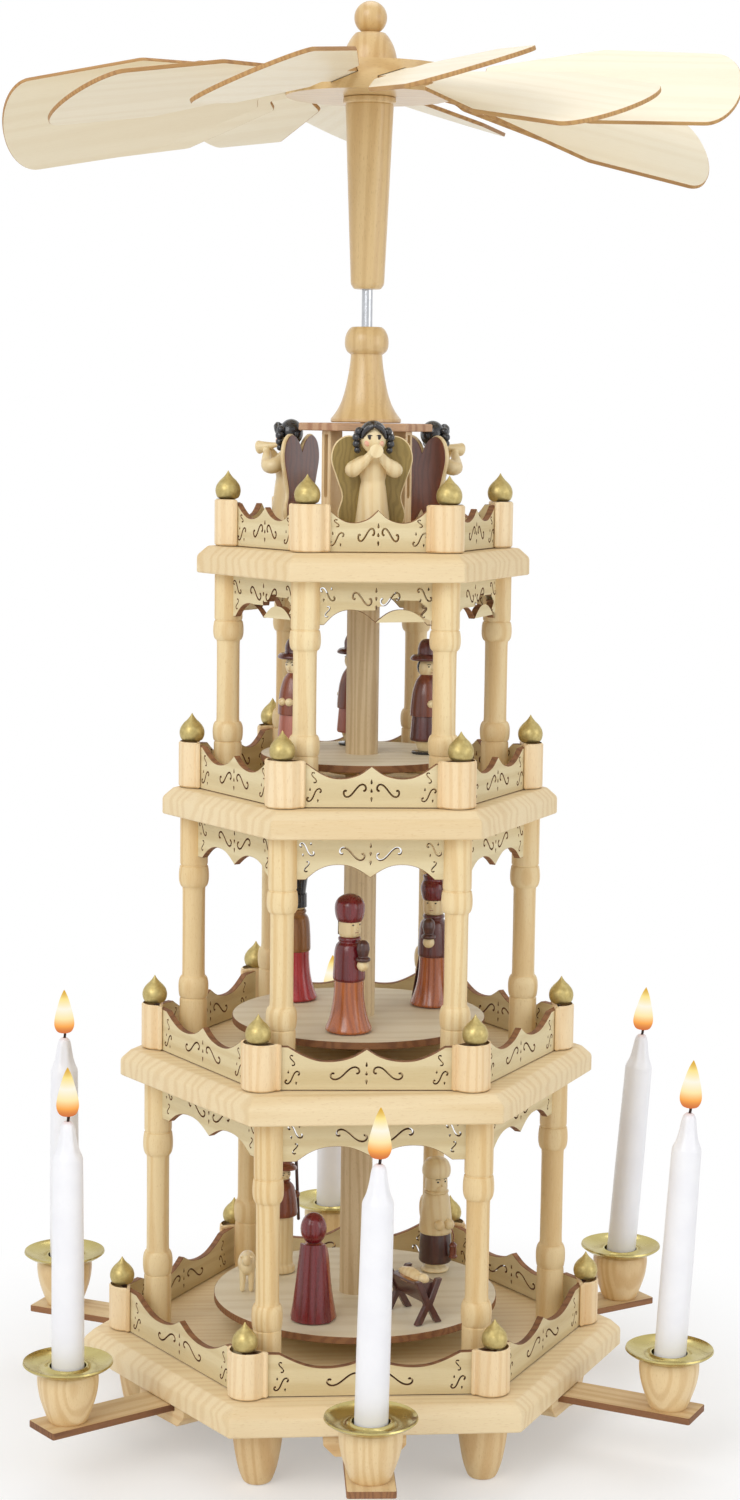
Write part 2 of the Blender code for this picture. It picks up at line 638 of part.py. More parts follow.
def drip_tray(name, azimuth):
    """A brass dish with a rolled collar and a closed socket that sits in the cup's bore."""
    outer = SOCKET_RADIUS + SOCKET_WALL
    collar = TRAY_SHEET + TRAY_COLLAR
    profile = [(0, SOCKET_WALL - SOCKET_DEPTH), (SOCKET_RADIUS, SOCKET_WALL - SOCKET_DEPTH),
               (SOCKET_RADIUS, collar), (outer, collar), (outer + TRAY_COLLAR, TRAY_SHEET),
               (TRAY_RADIUS, TRAY_RISE + TRAY_SHEET), (TRAY_RADIUS, TRAY_RISE), (CUP_RADIUS, 0),
               (outer, 0), (outer, -SOCKET_DEPTH), (0, -SOCKET_DEPTH)]
    place = front_matrix(azimuth, CUP_CIRCLE, TRAY_FOOT)
    return turned("drip_tray_" + name, profile, ROUND_STEPS, place)


def candle(name, azimuth):
    """A white candle with a tapered top and its wick, loose in the brass socket, so it may lean."""
    lean = CANDLE_LEANS.get(name, 0)
    middle = (SOCKET_DEPTH - SOCKET_WALL) / 2
    foot = SEAT_GAP + CANDLE_RADIUS * math.sin(lean) - middle
    shoulder = CANDLE_LENGTH - CANDLE_TAPER
    profile = [(0, CANDLE_LENGTH + WICK_HEIGHT), (WICK_RADIUS, CANDLE_LENGTH + WICK_HEIGHT),
               (WICK_RADIUS, CANDLE_LENGTH), (CANDLE_NECK_RADIUS, CANDLE_LENGTH),
               (CANDLE_RADIUS * CANDLE_TOP_SHARE, shoulder), (CANDLE_RADIUS, 0), (0, 0)]
    pivot = Matrix.Translation((CUP_CIRCLE * math.cos(azimuth), CUP_CIRCLE * math.sin(azimuth),
                                SOCKET_FLOOR + middle))
    place = pivot @ Matrix.Rotation(lean, 4, "Y") @ Matrix.Translation((0, 0, foot))
    return turned("candle_" + name, profile, SMALL_STEPS, place)


def bearing_cup():
    """A brass cup let into the base, with the bowl in which the rod's point turns."""
    lip = BEARING_RADIUS + BEARING_LIP
    flange = BEARING_HEIGHT - BEARING_FLANGE + SEAT_GAP
    bowl = BEARING_HEIGHT * (1 - BEARING_BOWL_SHARE)
    mouth = ROD_RADIUS + RUNNING_GAP
    profile = [(0, bowl), (mouth, BEARING_HEIGHT), (lip, BEARING_HEIGHT), (lip, flange),
               (BEARING_RADIUS, flange), (BEARING_RADIUS, 0), (0, 0)]
    return turned("bearing_cup", profile, ROUND_STEPS, Matrix.Translation((0, 0, BEARING_FOOT)))


def steel_rod():
    """The rod from its point in the bearing cup up into the spindle."""
    profile = [(0, ROD_TOP), (ROD_RADIUS, ROD_TOP), (ROD_RADIUS, ROD_FOOT + ROD_POINT), (0, ROD_FOOT)]
    return turned("steel_rod", profile, SMALL_STEPS)


def pole_top(tier):
    """Height where the pole over a turntable ends: under the next turntable, or in the last deck."""
    if tier + 1 < TIERS:
        return turntable_top(tier + 1) - TURNTABLE_THICKNESS - TURNTABLE_BOSS_HEIGHT - SEAT_GAP
    return FLOOR_HEIGHTS[tier + 1] - SEAT_GAP


def turntable_top(tier):
    """Height of the disc on which a tier's figures stand."""
    return FLOOR_HEIGHTS[tier] + TURNTABLE_RISES[tier]


def turntable(tier):
    """A plywood disc on a boss, with the pole over it, bored for the rod."""
    disc = turntable_top(tier)
    under = disc - TURNTABLE_THICKNESS
    boss = under - TURNTABLE_BOSS_HEIGHT
    top = pole_top(tier)
    radius = TURNTABLE_RADII[tier]
    profile = [(POLE_RADIUS, top), (POLE_RADIUS, disc), (radius, disc), (radius, under),
               (TURNTABLE_BOSS_RADIUS, under), (TURNTABLE_BOSS_RADIUS, boss), (ROD_BORE, boss),
               (ROD_BORE, top)]
    return turned("turntable_%d" % (tier + 1), profile, FINE_STEPS, ring=True)


def roof_stand():
    """Three grooved uprights on the top deck, and the roof plate that they carry."""
    roof = hexagon_board("roof_stand", ROOF_RADIUS, ROOF_THICKNESS, ROOF_TOP, ROOF_CHAMFER)
    half = UPRIGHT_WIDTH / 2
    groove = UPRIGHT_GROOVE / 2
    outer = -UPRIGHT_DEPTH / 2
    right = [(groove, outer + UPRIGHT_GROOVE), (groove, outer), (half, outer), (half, -outer)]
    outline = [(-x, y) for x, y in reversed(right)] + right
    height = UPRIGHT_HEIGHT + GLUE_DEPTH
    middle = FLOOR_HEIGHTS[-1] + SEAT_GAP + height / 2
    uprights = [extruded("upright", outline, height,
                         front_matrix(math.radians(azimuth), UPRIGHT_CIRCLE, middle))
                for azimuth in UPRIGHT_AZIMUTHS]
    combine(roof, uprights, "UNION")
    hole = round_cutter("rod_hole", ROD_BORE, ROOF_BOTTOM - CUT_OVERRUN, ROOF_TOP + CUT_OVERRUN,
                        SMALL_STEPS)
    return combine(roof, [hole], "DIFFERENCE")


def bell_cap():
    """The turned bell over the roof: the rod's upper bearing."""
    outer = shaped(BELL_PROFILE_SHARES, BELL_RADIUS, BELL_HEIGHT, BELL_FOOT)
    profile = [*outer, (ROD_BORE, BELL_FOOT), (ROD_BORE, BELL_FOOT + BELL_HEIGHT)]
    return turned("bell_cap", profile, ROUND_STEPS, ring=True)


def spindle():
    """The tapered spindle, with a cuff under the hub and a blind bore for the rod."""
    top = HUB_FOOT + GLUE_DEPTH
    cuff = HUB_FOOT - SPINDLE_CUFF_HEIGHT
    bore = SPINDLE_FOOT + SPINDLE_LENGTH * SPINDLE_BORE_SHARE
    profile = [(0, top), (SPINDLE_CUFF_RADIUS, top), (SPINDLE_CUFF_RADIUS, cuff),
               (SPINDLE_TOP_RADIUS, cuff), (SPINDLE_FOOT_RADIUS, SPINDLE_FOOT + SPINDLE_ROUNDING),
               (SPINDLE_FOOT_RADIUS - SPINDLE_ROUNDING / 2, SPINDLE_FOOT), (ROD_BORE, SPINDLE_FOOT),
               (ROD_BORE, bore), (0, bore)]
    return turned("spindle", profile, ROUND_STEPS)


def blade_matrix(index):
    """A blade drawn along +X, pitched, drooped about its slot and turned to its place on the hub."""
    azimuth = BLADE_PHASE + math.tau * index / BLADES + math.radians(BLADE_TURNS[index])
    droop = math.radians(BLADE_DROOPS[index])
    pitch = math.radians(BLADE_PITCHES[index])
    slot = HUB_RADIUS - BLADE_SLOT_DEPTH / 2
    return (Matrix.Rotation(azimuth, 4, "Z") @ Matrix.Translation((slot, 0, HUB_MIDDLE))
            @ Matrix.Rotation(droop, 4, "Y") @ Matrix.Rotation(pitch, 4, "X")
            @ Matrix.Translation((-slot, 0, 0)))


def blade_outline():
    """A paddle: a narrow neck, a shoulder, a flare to a kink and a round tip."""
    root = HUB_RADIUS - BLADE_SLOT_DEPTH
    upper = [(root, BLADE_NECK_HALF_WIDTH), (BLADE_SHOULDER_RADIUS, BLADE_NECK_HALF_WIDTH),
             (BLADE_SHOULDER_RADIUS, BLADE_SHOULDER_HALF_WIDTH), (BLADE_KINK_RADIUS, BLADE_HALF_WIDTH)]
    reach = BLADE_RADIUS - BLADE_TIP_RADIUS
    for step in range(BLADE_TIP_STEPS + 1):
        angle = FRONT_TURN - math.pi * step / BLADE_TIP_STEPS
        upper.append((BLADE_TIP_RADIUS + reach * math.cos(angle), BLADE_TIP_HALF_WIDTH * math.sin(angle)))
    lower = [(x, -y) for x, y in reversed(upper[:4])]
    return upper + lower


def rotor_blade(index, outline):
    """One plywood blade, its neck in a slot of the hub."""
    return extruded("rotor_blade_%02d" % (index + 1), outline, BLADE_THICKNESS, blade_matrix(index))


def knob():
    """The onion and ball on top of the hub."""
    onion = shaped(KNOB_PROFILE_SHARES[::-1], KNOB_RADIUS, KNOB_HEIGHT)
    centre = KNOB_HEIGHT + KNOB_BALL_RADIUS * math.cos(TURN / 2)
    arc = [math.pi * step / BALL_RINGS for step in range(BALL_RINGS)]
    top = [(KNOB_BALL_RADIUS * math.sin(angle), centre + KNOB_BALL_RADIUS * math.cos(angle))
           for angle in arc]
    profile = [*top, *onion, (onion[-1][0], -GLUE_DEPTH), (0, -GLUE_DEPTH)]
    return turned("knob", profile, ROUND_STEPS, Matrix.Translation((0, 0, KNOB_FOOT)))


def rotor_hub():
    """A thick disc with a slanted slot in its rim for each blade's neck, the spindle and the knob."""
    points = [(HUB_RADIUS, HUB_FOOT + HUB_THICKNESS), (HUB_RADIUS, HUB_FOOT)]
    hub = glued("rotor_hub", [turned_solid("disc", points, FINE_STEPS), spindle(), knob()])
    inner = HUB_RADIUS - BLADE_SLOT_DEPTH - SEAT_GAP
    length = BLADE_SLOT_DEPTH + CUT_OVERRUN + SEAT_GAP
    width = 2 * (BLADE_NECK_HALF_WIDTH + SEAT_GAP)
    size = (length, width, BLADE_THICKNESS + SEAT_GAP + SEAT_GAP)
    slots = [block("slot", size, (inner + length / 2, 0, 0), blade_matrix(index))
             for index in range(BLADES)]
    return combine(hub, slots, "DIFFERENCE")


def standing(azimuth, circle, floor, turn=0.0):
    """A figure's frame on a floor, its front (-Y) facing outwards unless it is turned."""
    matrix = front_matrix(math.radians(azimuth), circle, floor + SEAT_GAP)
    return matrix @ Matrix.Rotation(turn, 4, "Z")


def figure_body(shares, radius, height, matrix):
    """The turned body of a figure: robe, coat, head and hat in one."""
    points = shaped(shares, radius, height)
    points.append((points[-1][0], 0))
    return turned_solid("body", points, TINY_STEPS, matrix)


def hands(reach, height, matrix):
    """Two hands held together in front of a figure."""
    return [ball("hand", HAND_RADIUS, (side * HAND_RADIUS / 2, -reach, height), matrix=matrix)
            for side in (-1, 1)]


def king(index, floor):
    """A king in a flared robe and short coat, with a tall hat, holding a gift."""
    matrix = standing(KING_AZIMUTHS[index], KING_CIRCLES[index], floor)
    body = figure_body(KING_PROFILE_SHARES, KING_RADIUS, KING_HEIGHT, matrix)
    reach = KING_RADIUS * KING_PROFILE_SHARES[5][0]
    place = (0, -reach - HAND_RADIUS / 2, KING_HEIGHT * KING_GIFT_SHARE)
    gift = ball("gift", HAND_RADIUS, place, (1, 1, 2), matrix)
    return glued("king_%d" % (index + 1), [body, gift])


def bearded_man(floor):
    """A bearded man in a tall cap, his hands together."""
    matrix = standing(BEARDED_MAN_AZIMUTH, BEARDED_MAN_CIRCLE, floor)
    body = figure_body(BEARDED_MAN_PROFILE_SHARES, BEARDED_MAN_RADIUS, BEARDED_MAN_HEIGHT, matrix)
    pair = hands(BEARDED_MAN_RADIUS, BEARDED_MAN_HEIGHT * BEARDED_MAN_HANDS_SHARE, matrix)
    return glued("figure_bearded_man", [body, *pair])


def herdsman(floor):
    """A herdsman in a flat hat with a staff beside him."""
    matrix = standing(HERDSMAN_AZIMUTH, HERDSMAN_CIRCLE, floor)
    body = figure_body(HERDSMAN_PROFILE_SHARES, HERDSMAN_RADIUS, HERDSMAN_HEIGHT, matrix)
    route = [(STAFF_OFFSET, 0, HERDSMAN_HEIGHT * STAFF_FOOT_SHARE), (STAFF_OFFSET, 0, HERDSMAN_HEIGHT)]
    staff = round_bar("staff", route, STAFF_RADIUS, matrix)
    place = (STAFF_OFFSET - HAND_RADIUS / 2, 0, HERDSMAN_HEIGHT * FIST_SHARE)
    fist = ball("fist", HAND_RADIUS, place, matrix=matrix)
    return glued("figure_herdsman", [body, fist, staff])


def woman(floor):
    """A woman in a long robe and hooded cloak, her hands together."""
    matrix = standing(WOMAN_AZIMUTH, WOMAN_CIRCLE, floor)
    body = figure_body(WOMAN_PROFILE_SHARES, WOMAN_RADIUS, WOMAN_HEIGHT, matrix)
    reach = WOMAN_RADIUS * WOMAN_PROFILE_SHARES[5][0]
    return glued("figure_woman", [body, *hands(reach, WOMAN_HEIGHT * WOMAN_HANDS_SHARE, matrix)])


def lamb(floor):
    """A small standing lamb: a trunk, a head and four legs."""
    matrix = standing(LAMB_AZIMUTH, LAMB_CIRCLE, floor)
    girth = LAMB_HEIGHT * LAMB_GIRTH_SHARE
    middle = LAMB_HEIGHT - girth - HAND_RADIUS
    half = LAMB_LENGTH / 2
    neck = middle + girth * LAMB_NECK_SHARE
    trunk = ball("trunk", girth, (0, 0, middle), (half / girth * LAMB_TRUNK_SHARE, 1, 1), matrix)
    pieces = [trunk, ball("head", HAND_RADIUS, (half - HAND_RADIUS, 0, neck), matrix=matrix)]
    size = (LAMB_LEG_THICKNESS, LAMB_LEG_THICKNESS, middle)
    for along in (-1, 1):
        for across in (-1, 1):
            x = along * half * LAMB_LEG_SHARES[0]
            y = across * girth * LAMB_LEG_SHARES[1]
            pieces.append(block("leg", size, (x, y, middle / 2), matrix))
    return glued("figure_lamb", pieces)


def manger(floor):
    """A trough on crossed legs, with the child in it."""
    matrix = standing(MANGER_AZIMUTH, MANGER_CIRCLE, floor, MANGER_TURN)
    half = MANGER_WIDTH / 2
    waist = MANGER_HEIGHT * MANGER_WAIST_SHARE
    leg = MANGER_BOARD
    pinch = leg * MANGER_WAIST_WIDTH_SHARE
    right = [(half - leg, 0), (half, 0), (pinch, waist), (half, MANGER_HEIGHT),
             (half - leg, MANGER_HEIGHT)]
    left = [(-x, y) for x, y in reversed(right)]
    cross = [(0, waist - leg), *right, (0, waist + leg), *left]
    stand = Matrix.Rotation(FRONT_TURN, 4, "Z") @ Matrix.Rotation(FRONT_TURN, 4, "X")
    wide, high, long = MANGER_TROUGH_SHARES
    rim = MANGER_HEIGHT * high
    trough = [(-half * wide, rim), (0, waist), (half * wide, rim)]
    pieces = [extruded("trough", trough, MANGER_LENGTH * long, matrix @ stand)]
    for side in (-1, 1):
        shift = Matrix.Translation((side * (MANGER_LENGTH - leg) / 2, 0, 0))
        pieces.append(extruded("manger_end", cross, leg, matrix @ shift @ stand))
    pieces.append(ball("child", HAND_RADIUS, (0, 0, rim), CHILD_STRETCH_SHARES, matrix))
    return glued("manger", pieces)


def turning_shepherds(table, floor):
    """Three shepherds glued on the top turntable."""
    pieces = []
    for azimuth, circle in zip(SHEPHERD_AZIMUTHS, SHEPHERD_CIRCLES):
        matrix = standing(azimuth, circle, floor - SEAT_GAP - GLUE_DEPTH)
        pieces.append(figure_body(SHEPHERD_PROFILE_SHARES, SHEPHERD_RADIUS, SHEPHERD_HEIGHT, matrix))
    return combine(table, pieces, "UNION")


def wing_outline():
    """A heart-shaped pair of wings with a lower lobe on each side, drawn from the middle outwards."""
    right = [(WING_SPAN * across, WING_HEIGHT * up) for across, up in WING_OUTLINE_SHARES]
    left = [(-x, y) for x, y in right[:0:-1]]
    return right + left


def angel(name, azimuth, floor):
    """An angel in a long dress who blows a horn, with a flat pair of wings on the back."""
    matrix = standing(azimuth, ANGEL_CIRCLE, floor)
    pieces = [figure_body(ANGEL_PROFILE_SHARES, ANGEL_RADIUS, ANGEL_HEIGHT, matrix)]
    for side in (-1, 1):
        route = [(side * ANGEL_RADIUS * across, ANGEL_RADIUS * ahead, ANGEL_HEIGHT * up)
                 for across, ahead, up in ANGEL_ARM_SHARES]
        pieces.append(round_bar("arm", route, ANGEL_ARM_RADIUS, matrix))
    ahead, up = HORN_SHARES
    horn = [(0, -ANGEL_RADIUS / 2, ANGEL_HEIGHT * ANGEL_ARM_SHARES[-1][-1]),
            (0, ANGEL_RADIUS * ahead, ANGEL_HEIGHT * up)]
    pieces.append(round_bar("horn", horn, HORN_RADIUS, matrix))
    back, lift = ANGEL_WING_SHARES
    stand = Matrix.Translation((0, ANGEL_RADIUS * back, ANGEL_HEIGHT * lift))
    pieces.append(extruded("wings", wing_outline(), WING_THICKNESS,
                           matrix @ stand @ Matrix.Rotation(FRONT_TURN, 4, "X")))
    return glued("angel_" + name, pieces)


def new_axis(name):
    """An empty on the shaft's axis, to which all that turns is parented."""
    axis = bpy.data.objects.new(name, None)
    PARTS.objects.link(axis)
    return axis


def standing_pieces():
    """What never moves: boards, railings, arcades, arms, trays, the roof and its angels."""
    pieces = [("pine", base_board())]
    for tier in range(1, TIERS + 1):
        pieces.append(("pine", deck_board(tier)))
    for level in range(TIERS + 1):
        pieces.append(("birch_ply", railing(level)))
    for tier in range(TIERS):
        pieces.append(("beech", arcade(tier)))
    for name, degrees in ARM_AZIMUTHS.items():
        pieces.append(("birch_ply", candle_arm(name, math.radians(degrees))))
        pieces.append(("brass", drip_tray(name, math.radians(degrees))))
    pieces.append(("birch_ply", roof_stand()))
    pieces.append(("beech", bell_cap()))
    for name, degrees in ANGEL_AZIMUTHS.items():
        pieces.append(("pale_wood", angel(name, degrees, FLOOR_HEIGHTS[-1])))
    pieces.append(("brass", bearing_cup()))
    return pieces


def turning_pieces():
    """What turns as one: the rod, the turntables with their figures, and the rotor."""
    first, second, third = [turntable_top(tier) for tier in range(TIERS)]
    pieces = [("steel", steel_rod()), ("birch_ply", turntable(0)), ("birch_ply", turntable(1)),
              ("birch_ply", turning_shepherds(bake(turntable(2)), third)),
              ("stained_red", woman(first)), ("pale_wood", bearded_man(first)),
              ("stained_brown", herdsman(first)), ("stained_brown", manger(first)),
              ("pale_wood", lamb(first))]
    for index in range(len(KING_AZIMUTHS)):
        pieces.append(("stained_red", king(index, second)))
    pieces.append(("beech", rotor_hub()))
    outline = blade_outline()
    for index in range(BLADES):
        pieces.append(("birch_ply", rotor_blade(index, outline)))
    return pieces


def build():
    """Make every piece of the carousel and finish each one."""
    finishes = make_materials()
    for material, item in standing_pieces():
        finish(item, finishes[material])
    for name, degrees in ARM_AZIMUTHS.items():
        finish(candle(name, math.radians(degrees)), finishes["wax"])
    axis = new_axis("turning_axis")
    for material, item in turning_pieces():
        finish(item, finishes[material])
        item.parent = axis


clear_scene()
PARTS = new_collection("candle_carousel")
TOOLS = new_collection("cutters")
build()
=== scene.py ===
"""Looks of the candle carousel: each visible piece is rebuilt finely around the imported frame.

Metres, +Z up, the front is -Y, and z is 0 on the surface that the feet stand on. New pieces are
surfaces worked out as whole arrays: rings of points lofted into turned wood, plates pierced with
scrolls, and round bars swept along a path.
"""
import math

import bmesh
import bpy
import numpy as np
from mathutils import Matrix, Vector
from mathutils.geometry import tessellate_polygon


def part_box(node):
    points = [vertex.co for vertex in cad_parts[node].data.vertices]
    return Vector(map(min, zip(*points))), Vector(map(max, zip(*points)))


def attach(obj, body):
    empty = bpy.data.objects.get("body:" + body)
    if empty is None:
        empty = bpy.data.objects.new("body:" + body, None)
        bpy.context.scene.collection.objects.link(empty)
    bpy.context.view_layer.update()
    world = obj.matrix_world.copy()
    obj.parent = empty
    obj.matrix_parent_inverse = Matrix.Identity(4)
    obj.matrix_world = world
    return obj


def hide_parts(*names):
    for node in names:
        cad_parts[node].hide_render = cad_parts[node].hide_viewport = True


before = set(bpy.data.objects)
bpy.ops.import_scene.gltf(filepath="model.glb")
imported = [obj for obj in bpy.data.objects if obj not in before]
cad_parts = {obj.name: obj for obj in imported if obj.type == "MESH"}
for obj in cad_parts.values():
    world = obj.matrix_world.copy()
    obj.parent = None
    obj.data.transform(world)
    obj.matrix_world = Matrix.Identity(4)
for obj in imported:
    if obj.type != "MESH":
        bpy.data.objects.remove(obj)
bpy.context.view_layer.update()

MM = 0.001
RANDOM = np.random.default_rng(20)


def mm(sizes):
    """A table of sizes or points in millimetres, as an array in metres."""
    return np.asarray(sizes, float) * MM


# Sizes that the frame's pieces have too
SIDES = 6
HALF_TURN = math.pi
SEAT_GAP = 0.3 * MM
BOARD_RADII = mm((125.0, 108.4, 89.8, 74.9))
DECK_THICKNESS = 12.0 * MM
EDGE_CHAMFER = 4.3 * MM
EDGE_SOFTENING = 1.3 * MM
EDGE_EASE = 0.5 * MM
RECESS_RADIUS = 8.3 * MM
RECESS_DEPTH = 4.8 * MM
FLOORS = mm((40.5, 171.5, 291.5, 400.0))
TIER_CLEARS = mm((119.0, 108.0, 96.5))
FOOT_HEIGHT = 28.2 * MM
FOOT_CIRCLE = 98.0 * MM
RAILING_TURNS = (-0.9, -2.4, -1.3, 1.3)
POST_CIRCLES = mm((103.7, 89.2, 72.8, 57.4))
POST_RADIUS = 9.6 * MM
POST_HEIGHT = 20.4 * MM
PANEL_THICKNESS = 3.0 * MM
PANEL_INSET = 3.0 * MM
PANEL_HEIGHT = 19.2 * MM
PANEL_TOP_SHARES = ((0.0, 0.93), (0.12, 0.76), (0.23, 0.68), (0.345, 0.65), (0.47, 0.68),
                    (0.60, 0.80), (0.73, 0.98))
ARCADE_TURNS = (0.4, -1.3, 0.7)
COLUMN_CIRCLES = mm((91.1, 75.3, 60.5))
COLUMN_RADIUS = 6.8 * MM
COLUMN_FOOT_SHARE = 0.92
VALANCE_DEPTH = 18.7 * MM
VALANCE_BOTTOM_SHARES = ((0.0, 0.95), (0.12, 0.79), (0.23, 0.69), (0.345, 0.655), (0.48, 0.68),
                         (0.61, 0.79), (0.74, 1.0))
FRET_REACH = 0.87
ONION_RADIUS = 5.6 * MM
ONION_HEIGHT = 12.6 * MM
ONION_PLACE_SHARE = 0.38
ARM_AZIMUTHS = {"front": -92.4, "front_right": -31.3, "back_right": 27,
                "back": 90, "back_left": 151.4, "front_left": 212.1}
ARM_WIDTH = 20.4 * MM
ARM_THICKNESS = 3.0 * MM
ARM_TOP = FOOT_HEIGHT - SEAT_GAP
ARM_ROOT = 87.0 * MM
ARM_END = 167.5 * MM
HOLDER_WIDTH = 35.4 * MM
HOLDER_HEIGHT = 9.8 * MM
HOLDER_CHAMFER = 5.0 * MM
HOLDER_ROOT = 85.0 * MM
HOLDER_SETBACK = 1.8 * MM
CUP_CIRCLE = 154.0 * MM
CUP_HEIGHT = 22.6 * MM
CUP_RADIUS = 13.2 * MM
SOCKET_RADIUS = 7.9 * MM
SOCKET_WALL = 0.6 * MM
SOCKET_DEPTH = 10.0 * MM
TRAY_FOOT = ARM_TOP + CUP_HEIGHT + SEAT_GAP
TRAY_RADIUS = 19.4 * MM
TRAY_RISE = 3.0 * MM
TRAY_SHEET = 0.7 * MM
CANDLE_RADIUS = 7.0 * MM
CANDLE_LENGTH = 118.0 * MM
CANDLE_TAPER = 16.5 * MM
CANDLE_LEANS = {"front": 1, "front_right": 3, "back_right": 4}
WICK_HEIGHT = 5.2 * MM
FLAME_HEIGHT = 21.0 * MM
FLAME_RADIUS = 4.8 * MM
FLAME_LIFT = 2.4 * MM
UPRIGHT_AZIMUTHS = (-150, -30, 90)
UPRIGHT_CIRCLE = 18.0 * MM
UPRIGHT_WIDTH = 7.0 * MM
UPRIGHT_DEPTH = 6.4 * MM
UPRIGHT_HEIGHT = 51.1 * MM
UPRIGHT_SLOT_FOOT = 23.0 * MM
UPRIGHT_SLOT_HEAD = 1.6 * MM
ROOF_RADIUS = 30.0 * MM
ROOF_THICKNESS = 3.4 * MM
ROOF_BOTTOM = FLOORS[3] + SEAT_GAP + UPRIGHT_HEIGHT
BELL_FOOT = ROOF_BOTTOM + ROOF_THICKNESS + SEAT_GAP
BELL_HEIGHT = 42.0 * MM
ROD_RADIUS = 2.4 * MM
ROD_SHOWN = 16.5 * MM
POLE_RADIUS = 7.3 * MM
POLE_CLEARANCE = 2.0 * MM
TURNTABLE_RADII = mm((65.2, 57.6, 45.5))
TURNTABLE_TOPS = mm((56.5, 187.0, 307.0))
TURNTABLE_THICKNESS = 3.2 * MM
BOSS_RADIUS = 16.0 * MM
BOSS_HEIGHT = 5.0 * MM
SPINDLE_FOOT = BELL_FOOT + BELL_HEIGHT + ROD_SHOWN
SPINDLE_LENGTH = 83.0 * MM
HUB_FOOT = SPINDLE_FOOT + SPINDLE_LENGTH
HUB_RADIUS = 37.0 * MM
HUB_THICKNESS = 12.5 * MM
HUB_MIDDLE = HUB_FOOT + HUB_THICKNESS / 2
KNOB_FOOT = HUB_FOOT + HUB_THICKNESS
KNOB_HEIGHT = 15.3 * MM
KNOB_BALL = 7.2 * MM
BLADE_PHASE = 5
BLADE_TURNS = (5, 5, 4, 1, -3, -1, 0, 0, 2, 5, 0, 9)
BLADE_DROOPS = (12, 5, 0, 0, 0, 6, 11, 9, 7, 5, 10, 2)
BLADE_PITCHES = (40, 32, 17, 25, 35, 35, 38, 18, 20, 18, 20, 38)
BLADE_THICKNESS = 1.8 * MM
BLADE_SLOT_DEPTH = 11.0 * MM
BLADE_NECK_HALF_WIDTH = 6.2
BLADE_SHOULDER = (50.0, 12.0)
BLADE_KINK = (99.8, 28.5)
BLADE_TIP = (148.4, 27.5)
BLADE_TIP_LENGTH = 13.6
KING_PLACES = ((-102, 36.0 * MM), (26, 40.0 * MM), (130, 42.2 * MM))
KING_FACINGS = (47, -136, 20)
KING_STRETCH = (1, 1, 0.978)
BEARDED_MAN_PLACE = (34, 48.6 * MM)
BEARDED_MAN_FACING = -100
HERDSMAN_PLACE = (138, 44.1 * MM)
HERDSMAN_FACING = 160
HERDSMAN_STRETCH = (1, 1, 0.915)
WOMAN_PLACE = (-120, 44.0 * MM)
WOMAN_FACING = 195
WOMAN_STRETCH = (1, 1, 1.045)
LAMB_PLACE = (175, 50.0 * MM)
LAMB_STRETCH = (1.18, 1.12, 1.40)
MANGER_PLACE = (-59, 44.2 * MM)
MANGER_FACING = -94
SHEPHERD_PLACES = ((-3, 29.0 * MM), (93, 31.0 * MM), (172, 30.8 * MM))
SHEPHERD_FACINGS = (-60, 30, 60)
SHEPHERD_STRETCH = (1, 1, 0.963)
ANGEL_PLACES = {"front": -90, "right": 30, "left": 150}
ANGEL_CIRCLE = 38.5 * MM
WINGS_SIZE = (36.0 * MM, 40.0 * MM)
WINGS_LIFT = 9.4 * MM

# The camera, found from the corners of the boards; the lamps: place, energy and size; the floor
CAMERA_PLACE = (-0.10719, -1.21321, 0.45998)
CAMERA_TURNS = (-0.09119, 0.12381, 0.01267)
CAMERA_LENS = 65.26
LAMPS = {"key": ((-1.1, -1.5, 1.5), 20.0, 1.4), "fill": ((1.5, -1.1, 0.7), 6.0, 1.2),
         "top": ((0.1, 0.4, 2.0), 7.0, 1.2)}
SURROUNDINGS = 0.62
FLOOR_RADIUS = 1.6
FLOOR_FADE = (0.13, 0.30)

# How finely the surfaces are drawn
TIP = 0.08 * MM
ROUND = 48
FINE_ROUND = 96
SOFT = 0.4 * MM
BURN = 0.22 * MM
HOLE_BURN = 0.04 * MM
SHARP_ANGLE = math.radians(34)


class Part:
    """A piece of surface: points, faces, the grain's coordinates and which faces are cut edges."""

    def __init__(self, points, faces, edges=None):
        self.points = np.asarray(points, float)
        self.faces = faces
        self.edges = edges if edges is not None else [0] * len(faces)
        self.grain = self.points.copy()

    def along_x(self):
        """Let the grain run along the part's own X instead of its Z."""
        self.grain = self.points[:, [1, 2, 0]].copy()
        return self

    def along_y(self):
        """Let the grain run along the part's own Y."""
        self.grain = self.points[:, [0, 2, 1]].copy()
        return self

    def at(self, matrix):
        """Move the part to its place. Its grain goes with it."""
        turn = np.array(matrix.to_3x3())
        self.points = self.points @ turn.T + np.array(matrix.translation)
        return self


def shift(x, y, z):
    """A move without a turn."""
    return Matrix.Translation((x, y, z))


def turn(degrees, axis="Z"):
    """A turn about one axis."""
    return Matrix.Rotation(math.radians(degrees), 4, axis)


def front(azimuth, distance, height):
    """A piece drawn for the front (-Y), turned to an azimuth and set away from the axis."""
    return turn(azimuth + 90) @ shift(0, -distance, height)


def upright(azimuth, distance, height):
    """The same for an outline drawn flat, which then stands and faces outwards."""
    return front(azimuth, distance, height) @ turn(90, "X")


def corner_azimuths(offset=0.0):
    """The six corners of a board, or of a ring of pieces glued on a little turned, in degrees."""
    return [60 * index + offset for index in range(SIDES)]


def side_azimuths(offset=0.0):
    """The middles of the six sides of a board or of a ring of pieces, in degrees."""
    return [60 * index + 30 + offset for index in range(SIDES)]


